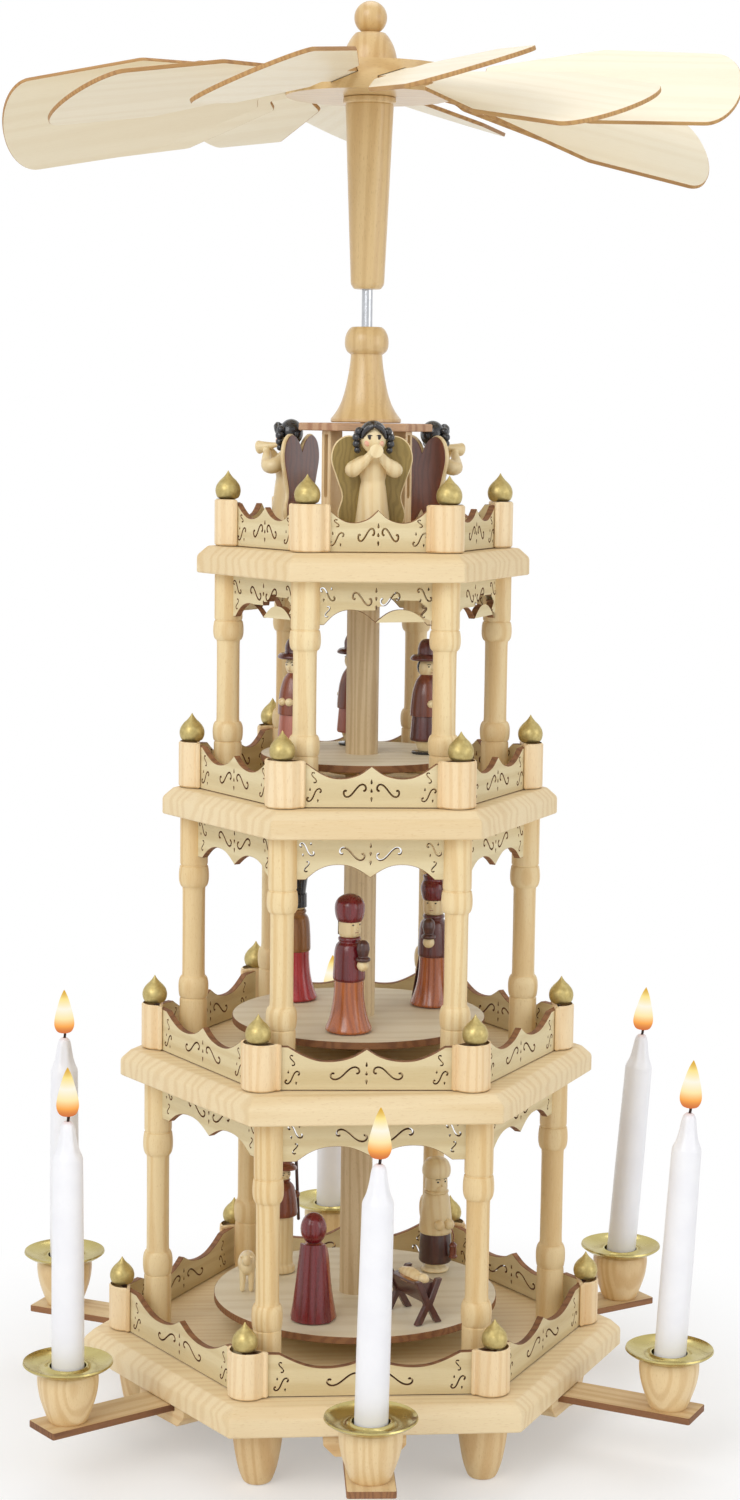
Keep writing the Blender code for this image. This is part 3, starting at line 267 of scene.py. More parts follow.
def apothem(circumradius):
    """From the axis to the middle of a hexagon's side."""
    return circumradius * math.cos(math.radians(30))


def loft(rings, closed=False):
    """Surface through rings: point j of ring i joins points j and j+1 of ring i+1.

    Rings run up the outside and round against the clock, so faces point outwards. Open ends get a
    flat face each, and a closed loft joins its last ring to its first.
    """
    rings = np.asarray(rings, float)
    count, around = rings.shape[:2]
    lower = np.arange(count if closed else count - 1)[:, None]
    upper = (lower + 1) % count
    here = np.arange(around)[None, :]
    ahead = (here + 1) % around
    quads = np.stack([lower * around + here, lower * around + ahead,
                      upper * around + ahead, upper * around + here], axis=-1)
    faces = quads.reshape(-1, 4).tolist()
    if not closed:
        faces.append(list(range(around))[::-1])
        faces.append(list(range((count - 1) * around, count * around)))
    return Part(rings.reshape(-1, 3), faces)


def turned(profile, steps=ROUND, closed=False):
    """Turned wood: radius r and height z of the profile carried round as (r cos a, r sin a, z)."""
    profile = np.asarray(profile, float)
    angles = np.linspace(0, math.tau, steps, endpoint=False)
    radius = np.maximum(profile[:, :1], TIP)
    height = np.repeat(profile[:, 1:2], steps, axis=1)
    rings = np.stack([radius * np.cos(angles), radius * np.sin(angles), height], axis=-1)
    return loft(rings, closed)


def softened(points, radius, steps=3, cyclic=False):
    """Each corner becomes a parabola from a little before it to a little after it."""
    points = np.asarray(points, float)
    back = np.roll(points, 1, axis=0) - points
    ahead = np.roll(points, -1, axis=0) - points
    back_length = np.linalg.norm(back, axis=1, keepdims=True)
    ahead_length = np.linalg.norm(ahead, axis=1, keepdims=True)
    cut = np.minimum(radius, np.minimum(back_length, ahead_length) * 0.45)
    start = (points + back / back_length * cut)[:, None]
    end = (points + ahead / ahead_length * cut)[:, None]
    share = np.linspace(0, 1, steps + 1)[None, :, None]
    arcs = (1 - share) ** 2 * start + 2 * share * (1 - share) * points[:, None] + share ** 2 * end
    if cyclic:
        return arcs.reshape(-1, points.shape[1])
    return np.vstack([points[:1], arcs[1:-1].reshape(-1, points.shape[1]), points[-1:]])


def flowing(points, count=6):
    """A smooth curve through the points: a cubic between each two, sloped by their neighbours."""
    points = np.asarray(points, float)
    padded = np.vstack([2 * points[0] - points[1], points, 2 * points[-1] - points[-2]])
    a, b, c, d = (padded[index:len(points) - 1 + index, None] for index in range(4))
    t = np.linspace(0, 1, count, endpoint=False)[None, :, None]
    curve = (b + (c - a) * t / 2 + (2 * a - 5 * b + 4 * c - d) * t ** 2 / 2
             + (3 * b - a - 3 * c + d) * t ** 3 / 2)
    return np.vstack([curve.reshape(-1, points.shape[1]), points[-1:]])


def signed_area(outline):
    """Twice the area of a flat outline, positive where it runs against the clock."""
    x, y = outline[:, 0], outline[:, 1]
    return np.sum(x * np.roll(y, -1) - y * np.roll(x, -1))


def outward(outline):
    """Unit normals on the right-hand side of an outline, one for each point."""
    along = np.roll(outline, -1, axis=0) - np.roll(outline, 1, axis=0)
    along /= np.maximum(np.linalg.norm(along, axis=1, keepdims=True), 1e-9)
    return np.stack([along[:, 1], -along[:, 0]], axis=-1)


def plate(outline, thickness, holes=(), burn=BURN):
    """A flat board of even thickness about z = 0, with holes cut right through.

    The outline runs against the clock and the holes with it. Four rings carry each loop from the
    lower face to the upper one: inset, full, full and inset. The faces between are triangulated.
    """
    loops = [np.asarray(loop, float) for loop in (outline, *holes)]
    loops = [loop if (signed_area(loop) > 0) == (index == 0) else loop[::-1]
             for index, loop in enumerate(loops)]
    half = thickness / 2
    levels = ((-half, 1), (burn - half, 0), (half - burn, 0), (half, 1))
    points, faces, starts = [], [], []
    first = 0
    insets = [burn] + [min(burn, HOLE_BURN)] * (len(loops) - 1)
    for loop, share in zip(loops, insets):
        rings = [np.column_stack([loop - outward(loop) * share * inset, np.full(len(loop), height)])
                 for height, inset in levels]
        quads = loft(rings).faces[:-2]
        faces += [[first + index for index in quad] for quad in quads]
        points += rings
        starts.append(first)
        first += 4 * len(loop)
    edges = [1] * len(faces)
    flat = [[Vector((x, y, 0)) for x, y in loop - outward(loop) * share]
            for loop, share in zip(loops, insets)]
    lower = np.concatenate([start + np.arange(len(loop)) for start, loop in zip(starts, loops)])
    upper = np.concatenate([start + 3 * len(loop) + np.arange(len(loop))
                            for start, loop in zip(starts, loops)])
    level_points = np.concatenate(loops)
    for triangle in tessellate_polygon(flat):
        if signed_area(level_points[list(triangle)]) < 0:
            triangle = triangle[::-1]
        faces.append([int(upper[index]) for index in triangle])
        faces.append([int(lower[index]) for index in triangle[::-1]])
        edges += [0, 0]
    return Part(np.concatenate(points), faces, edges)


def swept(path, radii, around=14, across=(0, 0, 1)):
    """A round bar: circles square to the path's direction at each point, with domed ends."""
    path = np.asarray(path, float)
    radii = np.broadcast_to(np.asarray(radii, float), (len(path),)).copy()
    along = np.gradient(path, axis=0)
    along /= np.linalg.norm(along, axis=1, keepdims=True)
    dome = np.radians([0, 25, 50, 72, 88])
    lead = path[:1] - along[:1] * (radii[0] * np.sin(dome[1:]))[::-1, None]
    tail = path[-1:] + along[-1:] * (radii[-1] * np.sin(dome[1:]))[:, None]
    radii = np.concatenate([(radii[0] * np.cos(dome[1:]))[::-1], radii,
                            radii[-1] * np.cos(dome[1:])])
    along = np.vstack([np.repeat(along[:1], 4, axis=0), along, np.repeat(along[-1:], 4, axis=0)])
    path = np.vstack([lead, path, tail])
    side = np.cross(np.asarray(across, float), along)
    side /= np.linalg.norm(side, axis=1, keepdims=True)
    other = np.cross(along, side)
    angles = np.linspace(0, math.tau, around, endpoint=False)[None, :, None]
    ring = side[:, None] * np.cos(angles) + other[:, None] * np.sin(angles)
    return loft(path[:, None] + ring * radii[:, None, None])


def ball(centre, radii, steps=24):
    """A ball or egg: latitude and longitude on a sphere, stretched to three half axes."""
    latitude = np.linspace(-HALF_TURN / 2, HALF_TURN / 2, steps // 2 + 1)
    part = turned(np.stack([np.cos(latitude), np.sin(latitude)], axis=-1), steps)
    rim = part.points[:, :2]
    length = np.maximum(np.linalg.norm(rim, axis=1, keepdims=True), 1e-9)
    part.points[:, :2] = rim / length * np.maximum(length, 0.02)
    part.points = part.points * np.broadcast_to(radii, (3,)) + np.asarray(centre, float)
    part.grain = part.points.copy()
    return part


def hexagon(circumradius, corner=1.4 * MM, steps=5):
    """A hexagon's outline with a corner at +X: six arcs of the corner's radius, joined straight."""
    middle = circumradius - corner / math.cos(math.radians(30)) + corner
    azimuths = np.radians(np.repeat(corner_azimuths(), steps))
    offsets = np.radians(np.tile(np.linspace(-30, 30, steps), SIDES))
    centre = middle - corner
    x = centre * np.cos(azimuths) + corner * np.cos(azimuths + offsets)
    y = centre * np.sin(azimuths) + corner * np.sin(azimuths + offsets)
    return np.stack([x, y], axis=-1)


def circle_like(outline, radius):
    """A circle with a point in the direction of each of an outline's points."""
    return outline / np.linalg.norm(outline, axis=1, keepdims=True) * radius


def level(outline, height):
    """A flat outline at a height."""
    return np.column_stack([outline, np.full(len(outline), height)])


def srgb(red, green, blue):
    """A colour as a screen shows it, 0 to 255, in the linear values that a shader takes."""
    shown = np.array([red, green, blue]) / 255
    linear = np.where(shown <= 0.04045, shown / 12.92, ((shown + 0.055) / 1.055) ** 2.4)
    return (*(float(value) for value in linear), 1.0)


# Shader groups and materials
def node(tree, kind, **settings):
    """A shader node with its settings."""
    made = tree.nodes.new(kind)
    for name, value in settings.items():
        setattr(made, name, value)
    return made


def feed(tree, socket, source):
    """Give a socket a value, or link it to another socket."""
    if isinstance(source, bpy.types.NodeSocket):
        tree.links.new(source, socket)
    else:
        socket.default_value = source


def maths(tree, operation, first, second=0.0):
    """A sum, product or other step on two values."""
    made = node(tree, "ShaderNodeMath", operation=operation)
    feed(tree, made.inputs[0], first)
    feed(tree, made.inputs[1], second)
    return made.outputs[0]


def vectors(tree, operation, first, second=(0, 0, 0)):
    """A step on two vectors."""
    made = node(tree, "ShaderNodeVectorMath", operation=operation)
    feed(tree, made.inputs[0], first)
    if operation == "SCALE":
        feed(tree, made.inputs["Scale"], second)
    else:
        feed(tree, made.inputs[1], second)
    return made.outputs[0]


def spread(tree, value, low, high, floor=0.0, ceiling=1.0):
    """Carry a value from one range to another, smoothly and clamped."""
    made = node(tree, "ShaderNodeMapRange", interpolation_type="SMOOTHSTEP")
    for name, source in (("Value", value), ("From Min", low), ("From Max", high),
                         ("To Min", floor), ("To Max", ceiling)):
        feed(tree, made.inputs[name], source)
    return made.outputs["Result"]


def mixed(tree, share, first, second):
    """A blend of two colours by a share."""
    made = node(tree, "ShaderNodeMix", data_type="RGBA")
    feed(tree, made.inputs[0], share)
    feed(tree, made.inputs[6], first)
    feed(tree, made.inputs[7], second)
    return made.outputs[2]


def noise(tree, vector, scale, detail=2.0, roughness=0.5):
    """Soft noise between 0 and 1."""
    made = node(tree, "ShaderNodeTexNoise")
    feed(tree, made.inputs["Vector"], vector)
    feed(tree, made.inputs["Scale"], scale)
    feed(tree, made.inputs["Detail"], detail)
    feed(tree, made.inputs["Roughness"], roughness)
    return made.outputs["Fac"]


def new_group(name, inputs, outputs):
    """An empty shader group with named sockets."""
    group = bpy.data.node_groups.new(name, "ShaderNodeTree")
    for socket, kind in inputs:
        group.interface.new_socket(socket, in_out="INPUT", socket_type=kind)
    for socket in outputs:
        group.interface.new_socket(socket, in_out="OUTPUT", socket_type="NodeSocketFloat")
    given = group.nodes.new("NodeGroupInput").outputs
    return group, given, group.nodes.new("NodeGroupOutput").inputs


def timber_group():
    """Wood grain along the grain's third coordinate: fibres, growth bands, and short dark flecks.

    Fibres are noise stretched fourteen times along the grain. Bands are waves across it, bent by a
    slow noise. Flecks are the peaks of a finer stretched noise.
    """
    sockets = (("Grain", "NodeSocketVector"), ("Tone", "NodeSocketFloat"),
               ("Band Width", "NodeSocketFloat"), ("Fibre Size", "NodeSocketFloat"))
    group, given, out = new_group("timber", sockets, ("Shade", "Fleck", "Height"))
    stretched = vectors(group, "MULTIPLY", given["Grain"], (1, 1, 0.07))
    fine = vectors(group, "SCALE", stretched, maths(group, "DIVIDE", 1.0, given["Fibre Size"]))
    fibre = noise(group, fine, 1.0, 3.0)
    wide = vectors(group, "MULTIPLY", given["Grain"], (1, 0.6, 0.05))
    wide = vectors(group, "SCALE", wide, maths(group, "DIVIDE", 1.0, given["Band Width"]))
    drift = noise(group, wide, 0.35, 2.0)
    bent = vectors(group, "ADD", wide, vectors(group, "SCALE", (1.0, 0.4, 0.0), drift))
    bent = vectors(group, "ADD", bent, vectors(group, "SCALE", (2.4, 0.0, 0.0), drift))
    wave = node(group, "ShaderNodeTexWave", wave_type="BANDS", bands_direction="X")
    feed(group, wave.inputs["Vector"], bent)
    feed(group, wave.inputs["Scale"], 0.314)
    feed(group, wave.inputs["Distortion"], 1.2)
    feed(group, wave.inputs["Detail"], 2.0)
    bands = spread(group, wave.outputs["Fac"], 0.25, 1.0)
    slow = noise(group, wide, 0.22, 1.0)
    shade = maths(group, "MULTIPLY", bands, 0.42)
    shade = maths(group, "ADD", shade, maths(group, "MULTIPLY", fibre, 0.35))
    shade = maths(group, "ADD", shade, maths(group, "MULTIPLY", slow, 0.35))
    shade = maths(group, "ADD", shade, maths(group, "MULTIPLY", given["Tone"], 0.22))
    feed(group, out["Shade"], maths(group, "SUBTRACT", shade, 0.10))
    thin = vectors(group, "MULTIPLY", given["Grain"], (1, 1, 0.16))
    thin = vectors(group, "SCALE", thin, maths(group, "DIVIDE", 1.6, given["Fibre Size"]))
    feed(group, out["Fleck"], spread(group, noise(group, thin, 1.0, 1.0), 0.60, 0.74))
    feed(group, out["Height"], fibre)
    return group


def mottle_group():
    """Uneven paint or tarnish: slow clouds, fine specks, and a height for brush marks."""
    sockets = (("Grain", "NodeSocketVector"), ("Size", "NodeSocketFloat"))
    group, given, out = new_group("mottle", sockets, ("Cloud", "Speck", "Height"))
    scaled = vectors(group, "SCALE", given["Grain"], maths(group, "DIVIDE", 1.0, given["Size"]))
    feed(group, out["Cloud"], spread(group, noise(group, scaled, 0.5, 3.0), 0.30, 0.72))
    feed(group, out["Speck"], spread(group, noise(group, scaled, 4.0, 2.0), 0.58, 0.70))
    feed(group, out["Height"], noise(group, scaled, 1.6, 2.0))
    return group


TIMBER = timber_group()
MOTTLE = mottle_group()


def new_material(name):
    """A material, its tree and its Principled shader."""
    made = bpy.data.materials.new(name)
    made.use_nodes = True
    return made, made.node_tree, made.node_tree.nodes["Principled BSDF"]


def read_attribute(tree, name, output):
    """One of the two values stored on each point: the grain's coordinates or the piece's tone."""
    return node(tree, "ShaderNodeAttribute", attribute_name=name).outputs[output]


def bumped(tree, shader, height, distance, strength=0.5):
    """A fine relief on the shader's normal."""
    bump = node(tree, "ShaderNodeBump")
    bump.inputs["Strength"].default_value = strength
    bump.inputs["Distance"].default_value = distance
    feed(tree, bump.inputs["Height"], height)
    feed(tree, shader.inputs["Normal"], bump.outputs["Normal"])


def wood(name, pale, dark, fleck, roughness=0.55, band=5.0 * MM, fibre=0.55 * MM, coat=0.0,
         flecks=0.25, relief=0.06 * MM):
    """Planed or turned wood: three colours laid over one another by the timber group."""
    made, tree, shader = new_material(name)
    grain = node(tree, "ShaderNodeGroup", node_tree=TIMBER)
    feed(tree, grain.inputs["Grain"], read_attribute(tree, "grain", "Vector"))
    feed(tree, grain.inputs["Tone"], read_attribute(tree, "tone", "Fac"))
    grain.inputs["Band Width"].default_value = band
    grain.inputs["Fibre Size"].default_value = fibre
    colour = mixed(tree, grain.outputs["Shade"], srgb(*pale), srgb(*dark))
    share = maths(tree, "MULTIPLY", grain.outputs["Fleck"], flecks)
    feed(tree, shader.inputs["Base Color"], mixed(tree, share, colour, srgb(*fleck)))
    feed(tree, shader.inputs["Roughness"],
         spread(tree, grain.outputs["Height"], 0.3, 0.7, roughness - 0.07, roughness + 0.07))
    shader.inputs["Coat Weight"].default_value = coat
    shader.inputs["Coat Roughness"].default_value = 0.16
    bumped(tree, shader, grain.outputs["Height"], relief)
    return made


def paint(name, colour, worn, roughness=0.4, metallic=0.0, coat=0.0, size=1.6 * MM, wear=0.6,
          relief=0.05 * MM):
    """Paint, metal or wax: a colour that the mottle group clouds and specks with a second one."""
    made, tree, shader = new_material(name)
    grain = node(tree, "ShaderNodeGroup", node_tree=MOTTLE)
    feed(tree, grain.inputs["Grain"], read_attribute(tree, "grain", "Vector"))
    grain.inputs["Size"].default_value = size
    clouds = maths(tree, "MULTIPLY", grain.outputs["Cloud"], wear)
    specks = maths(tree, "MULTIPLY", grain.outputs["Speck"], wear * 0.5)
    share = maths(tree, "MAXIMUM", clouds, specks)
    feed(tree, shader.inputs["Base Color"], mixed(tree, share, srgb(*colour), srgb(*worn)))
    feed(tree, shader.inputs["Roughness"],
         spread(tree, grain.outputs["Cloud"], 0.0, 1.0, roughness - 0.05, roughness + 0.06))
    shader.inputs["Metallic"].default_value = metallic
    shader.inputs["Coat Weight"].default_value = coat
    shader.inputs["Coat Roughness"].default_value = 0.12
    bumped(tree, shader, grain.outputs["Height"], relief)
    return made


def flame_material():
    """Flame: light that runs from orange at the foot through white to yellow at the tip."""
    made, tree, shader = new_material("flame")
    apart = node(tree, "ShaderNodeSeparateXYZ")
    feed(tree, apart.inputs[0], read_attribute(tree, "grain", "Vector"))
    height = spread(tree, apart.outputs["Z"], 0.0, FLAME_HEIGHT)
    ramp = node(tree, "ShaderNodeValToRGB")
    stops = ((0.0, (214, 120, 70)), (0.10, (255, 176, 92)), (0.30, (255, 236, 176)),
             (0.62, (255, 250, 232)), (0.90, (255, 232, 150)), (1.0, (226, 176, 66)))
    ramp.color_ramp.elements[0].color = srgb(*stops[0][1])
    ramp.color_ramp.elements[-1].color = srgb(*stops[-1][1])
    for place, colour in stops[1:-1]:
        ramp.color_ramp.elements.new(place).color = srgb(*colour)
    feed(tree, ramp.inputs["Fac"], height)
    feed(tree, shader.inputs["Emission Color"], ramp.outputs["Color"])
    shader.inputs["Emission Strength"].default_value = 1.0
    shader.inputs["Base Color"].default_value = (0, 0, 0, 1)
    shader.inputs["Roughness"].default_value = 1.0
    shader.inputs["Specular IOR Level"].default_value = 0.0
    return made


# Each finish: its material, and the slot of the record that it belongs to
FINISHES = {
    "board": (wood("pine_boards", (238, 219, 180), (222, 194, 146), (196, 154, 104), 0.56,
                   6.0 * MM, 0.7 * MM), "pine"),
    "foot": (wood("turned_pine", (230, 204, 156), (204, 164, 110), (170, 120, 72), 0.5), "pine"),
    "post": (wood("post_wood", (244, 222, 182), (226, 192, 142), (194, 148, 96), 0.5,
                  3.6 * MM, 0.6 * MM), "birch_ply"),
    "column": (wood("column_wood", (240, 220, 174), (216, 180, 122), (190, 142, 90), 0.48,
                    4.4 * MM, 0.5 * MM), "beech"),
    "ply": (wood("panel_ply", (226, 212, 172), (206, 186, 140), (170, 134, 88), 0.6,
                 9.0 * MM, 0.5 * MM, flecks=0.12), "birch_ply"),
    "disc": (wood("turntable_ply", (229, 219, 194), (212, 198, 166), (176, 146, 104), 0.6,
                  12.0 * MM, 0.6 * MM, flecks=0.10), "birch_ply"),
    "burnt": (wood("burnt_edge", (150, 104, 66), (104, 66, 42), (66, 40, 26), 0.7,
                   2.0 * MM, 0.4 * MM), "birch_ply"),
    "blade": (wood("blade_ply", (241, 231, 206), (234, 221, 192), (210, 184, 144), 0.5,
                   10.0 * MM, 0.7 * MM, coat=0.15, flecks=0.08), "birch_ply"),
    "blade_edge": (wood("blade_edge", (196, 154, 96), (158, 112, 66), (120, 78, 44), 0.6,
                        2.0 * MM, 0.4 * MM), "birch_ply"),
    "arm": (wood("arm_ply", (226, 202, 158), (200, 166, 116), (160, 118, 76), 0.6,
                 7.0 * MM, 0.5 * MM), "birch_ply"),
    "cup": (wood("cup_wood", (232, 206, 158), (206, 168, 112), (176, 130, 82), 0.46,
                 4.0 * MM, 0.5 * MM, coat=0.2), "birch_ply"),
    "golden": (wood("golden_beech", (222, 192, 138), (196, 158, 100), (156, 112, 64), 0.36,
                    5.0 * MM, 0.6 * MM, coat=0.35), "beech"),
    "pole": (wood("pole_wood", (226, 206, 168), (192, 164, 122), (150, 118, 82), 0.5,
                  2.6 * MM, 0.5 * MM), "birch_ply"),
    "roof": (wood("roof_ply", (214, 178, 140), (150, 96, 66), (112, 66, 46), 0.6,
                  9.0 * MM, 0.5 * MM), "birch_ply"),
    "brass": (paint("brass_sheet", (198, 184, 124), (168, 150, 90), 0.24, 1.0, wear=0.5,
                    size=5.0 * MM, relief=0.006 * MM), "brass"),
    "gilt": (paint("gilt_paint", (198, 180, 120), (166, 146, 88), 0.46, 0.75, wear=0.6,
                   size=0.9 * MM, relief=0.05 * MM), "birch_ply"),
    "wing": (wood("gilt_wing", (172, 148, 82), (134, 112, 58), (96, 78, 40), 0.5,
                  2.4 * MM, 0.35 * MM, coat=0.1), "pale_wood"),
    "steel": (paint("rod_steel", (196, 198, 202), (150, 152, 156), 0.18, 1.0, wear=0.3), "steel"),
    "wax": (paint("candle_wax", (243, 243, 246), (232, 232, 238), 0.38, coat=0.1, wear=0.4,
                  size=6.0 * MM), "wax"),
    "wick": (paint("charred_wick", (30, 20, 16), (74, 44, 30), 0.8, size=0.4 * MM), "wax"),
    "flame": (flame_material(), "wax"),
    "wine": (wood("wine_lacquer", (124, 26, 34), (84, 12, 20), (56, 8, 14), 0.30, coat=0.6,
                  flecks=0.2), "stained_red"),
    "crimson": (wood("crimson_lacquer", (176, 46, 54), (136, 26, 34), (100, 16, 24), 0.32,
                     coat=0.6, flecks=0.2), "stained_red"),
    "copper": (wood("copper_stain", (188, 104, 50), (132, 62, 28), (88, 36, 18), 0.28,
                    3.4 * MM, coat=0.7), "stained_red"),
    "russet": (wood("russet_stain", (166, 80, 44), (118, 46, 26), (80, 28, 18), 0.30,
                    3.4 * MM, coat=0.6), "stained_red"),
    "plum": (wood("plum_stain", (104, 50, 46), (66, 28, 28), (42, 18, 20), 0.32, coat=0.5),
             "stained_brown"),
    "tan": (wood("tan_stain", (172, 122, 70), (126, 80, 40), (90, 54, 28), 0.36, coat=0.4),
            "stained_brown"),
    "rose": (wood("rose_stain", (180, 112, 96), (138, 70, 60), (100, 46, 40), 0.4, coat=0.3),
             "stained_red"),
    "brown": (wood("brown_stain", (138, 72, 46), (92, 42, 28), (60, 26, 18), 0.34, coat=0.5),
              "stained_brown"),
    "dark": (wood("dark_stain", (88, 50, 42), (56, 30, 26), (36, 18, 16), 0.38, coat=0.4),
             "stained_brown"),
    "hair": (paint("black_hair", (20, 20, 24), (44, 44, 52), 0.26, coat=0.5, wear=0.4),
             "stained_brown"),
    "cream": (wood("cream_wood", (240, 222, 178), (222, 194, 142), (196, 160, 108), 0.42,
                   4.0 * MM, coat=0.25, flecks=0.12), "pale_wood"),
    "blush": (paint("rosy_cheek", (232, 168, 146), (240, 204, 170), 0.5, wear=0.7,
                    size=0.7 * MM), "pale_wood"),
    "ink": (paint("painted_features", (26, 20, 20), (60, 44, 40), 0.35, wear=0.3), "stained_brown"),
}


def new_piece(name, parts, finish, node_name, body, edge=None, scatter=True):
    """One object from parts, with its grain and tone on its points. It rides on a body and replaces
    a node of the frame. Each part's grain starts from a place of its own, as if cut from another
    stick."""
    points = np.concatenate([part.points for part in parts])
    counts = [len(part.points) for part in parts]
    starts = np.concatenate([[0], np.cumsum(counts)[:-1]])
    faces = [[int(start) + index for index in face]
             for start, part in zip(starts, parts) for face in part.faces]
    offsets = RANDOM.uniform(-1, 1, (len(parts), 3)) * (1 if scatter else 0)
    tones = RANDOM.uniform(-1, 1, len(parts))
    grain = np.concatenate([part.grain for part in parts]) + np.repeat(offsets, counts, axis=0)
    mesh = bpy.data.meshes.new(name)
    mesh.from_pydata(points.tolist(), [], faces)
    mesh.attributes.new("grain", "FLOAT_VECTOR", "POINT").data.foreach_set("vector", grain.ravel())
    shades = np.repeat(tones, counts)
    mesh.attributes.new("tone", "FLOAT", "POINT").data.foreach_set("value", shades)
    mesh.materials.append(FINISHES[finish][0])
    if edge is not None:
        mesh.materials.append(FINISHES[edge][0])
        kinds = np.concatenate([part.edges for part in parts]).astype(np.int32)
        mesh.polygons.foreach_set("material_index", kinds)
    mesh.shade_smooth()
    mesh.set_sharp_from_angle(angle=SHARP_ANGLE)
    mesh.update()
    piece = bpy.data.objects.new(name, mesh)
    bpy.context.scene.collection.objects.link(piece)
    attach(piece, body)
    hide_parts(node_name)
    return piece


# The stand
def board_rings(circumradius, bottom, top):
    """Rings of a board's rim: eased below, straight, and a softened chamfer above."""
    slope = softened([(EDGE_EASE, bottom), (0, bottom + EDGE_EASE), (0, top - EDGE_CHAMFER),
                      (EDGE_CHAMFER, top), (EDGE_CHAMFER + 2.0 * MM, top)], EDGE_SOFTENING, 4)
    return [level(hexagon(circumradius - inset / math.cos(math.radians(30))), height)
            for inset, height in slope]


def base_piece():
    """The base board with the recess for the bearing, its feet and its arm holders."""
    rings = board_rings(BOARD_RADII[0], FOOT_HEIGHT, FLOORS[0])
    recess = circle_like(hexagon(BOARD_RADII[0]), RECESS_RADIUS)
    rings += [level(recess, FLOORS[0]), level(recess, FLOORS[0] - RECESS_DEPTH)]
    new_piece("base_board_top", [loft(rings).along_x()], "board", "base_board", "stand")
    profile = np.vstack([flowing(mm([(4.4, 0), (6.0, 0.8), (7.2, 3.2), (8.6, 7.6), (9.8, 13.6),
                                     (10.7, 20.0), (11.0, 26.0)]), 5), mm([(11.0, 28.2)])])
    feet = [turned(profile).at(front(azimuth, FOOT_CIRCLE, 0)) for azimuth in corner_azimuths()]
    new_piece("base_feet", feet, "foot", "base_board", "stand")
    half = HOLDER_WIDTH / 2
    bottom = FOOT_HEIGHT - HOLDER_HEIGHT
    channel = ARM_WIDTH / 2 + SEAT_GAP
    sill = ARM_TOP - ARM_THICKNESS - SEAT_GAP
    right = [(half - HOLDER_CHAMFER, bottom), (half, bottom + HOLDER_CHAMFER), (half, FOOT_HEIGHT),
             (channel, FOOT_HEIGHT), (channel, sill)]
    outline = softened(right + [(-x, y) for x, y in reversed(right)], 0.7 * MM, 3, cyclic=True)
    end = apothem(BOARD_RADII[0]) - HOLDER_SETBACK
    blocks = [plate(outline, end - HOLDER_ROOT).along_x().at(
        upright(azimuth, (HOLDER_ROOT + end) / 2, 0)) for azimuth in ARM_AZIMUTHS.values()]
    new_piece("arm_holders", blocks, "foot", "base_board", "stand")


def deck_piece(tier):
    """A deck board: a hexagonal rim whose top and bottom run in to the pole's hole."""
    top = FLOORS[tier]
    bottom = top - DECK_THICKNESS
    hole = circle_like(hexagon(BOARD_RADII[tier]), POLE_RADIUS + POLE_CLEARANCE)
    rings = [level(hole, bottom), *board_rings(BOARD_RADII[tier], bottom, top), level(hole, top)]
    name = "deck_board_%d" % tier
    new_piece(name + "_wood", [loft(rings, closed=True).along_x()], "board", name, "stand")


def post_outline():
    """Plan of a post: flat behind, narrow square shoulders, and a half round between them."""
    shoulder = 1.5 * MM
    step = 2.0 * MM
    across = POST_RADIUS - shoulder
    angles = np.radians(np.linspace(180, 360, 19))
    arc = np.stack([across * np.cos(angles), -step + (POST_RADIUS - step) * np.sin(angles)],
                   axis=-1)
    return np.vstack([[(-POST_RADIUS, 0), (-POST_RADIUS, -step)], arc,
                      [(POST_RADIUS, -step), (POST_RADIUS, 0)]])


def onion_profile(radius, height):
    """A gilt onion: flat foot, round belly, and a hollow curve up to its point."""
    shares = np.array([(0.58, 0.0), (0.86, 0.07), (1.0, 0.27), (0.93, 0.47), (0.68, 0.64),
                       (0.38, 0.77), (0.16, 0.89), (0.02, 1.0)])
    return flowing(shares * (radius, height), 5)


def scroll_spine(bend, tilt, width, height, count=44):
    """An S-shaped scroll: its heading grows by a power of the way from the middle to both ends, and
    its steps shorten, so that both ends curl in. The line through its ends is tilted in degrees."""
    along = np.linspace(-1, 1, count)
    heading = math.radians(bend) * np.abs(along) ** 2.2
    strides = (1.25 - 0.6 * np.abs(along))[:, None]
    spine = np.cumsum(np.stack([np.cos(heading), np.sin(heading)], axis=-1) * strides, axis=0)
    ends = spine[-1] - spine[0]
    lean = math.radians(tilt) - math.atan2(ends[1], ends[0])
    spine = spine @ np.array([[math.cos(lean), math.sin(lean)], [-math.sin(lean), math.cos(lean)]])
    low, high = spine.min(axis=0), spine.max(axis=0)
    return (spine - (low + high) / 2) / (high - low) * (width, height)


def stroke(spine, width):
    """The outline of a line of even width with round ends, a little fuller at both ends."""
    right = outward(np.vstack([spine, spine[::-1]]))[:len(spine)]
    right[0] = right[1]
    right[-1] = right[-2]
    share = np.linspace(-1, 1, len(spine))[:, None]
    half = width / 2 * (0.90 + 0.25 * np.abs(share) ** 5)
    along = np.stack([-right[:, 1], right[:, 0]], axis=-1)
    bend = np.radians([-60, -20, 20, 60])[:, None]
    tail = spine[-1] + half[-1] * (np.cos(bend) * along[-1] - np.sin(bend) * right[-1])
    head = spine[0] - half[0] * (np.cos(bend) * along[0] - np.sin(bend) * right[0])
    return np.vstack([spine + half * right, tail, (spine - half * right)[::-1], head])


def drop(x, y, width, height):
    """A teardrop about a point: a circle whose upper side is drawn out to a point, and whose lower
    side is if the height is negative."""
    angles = np.linspace(0, math.tau, 12, endpoint=False)
    across = width / 2 * np.cos(angles) * (1 - 0.42 * (np.sin(angles) + 1))
    return np.stack([across + x, height / 2 * np.sin(angles) + y], axis=-1)


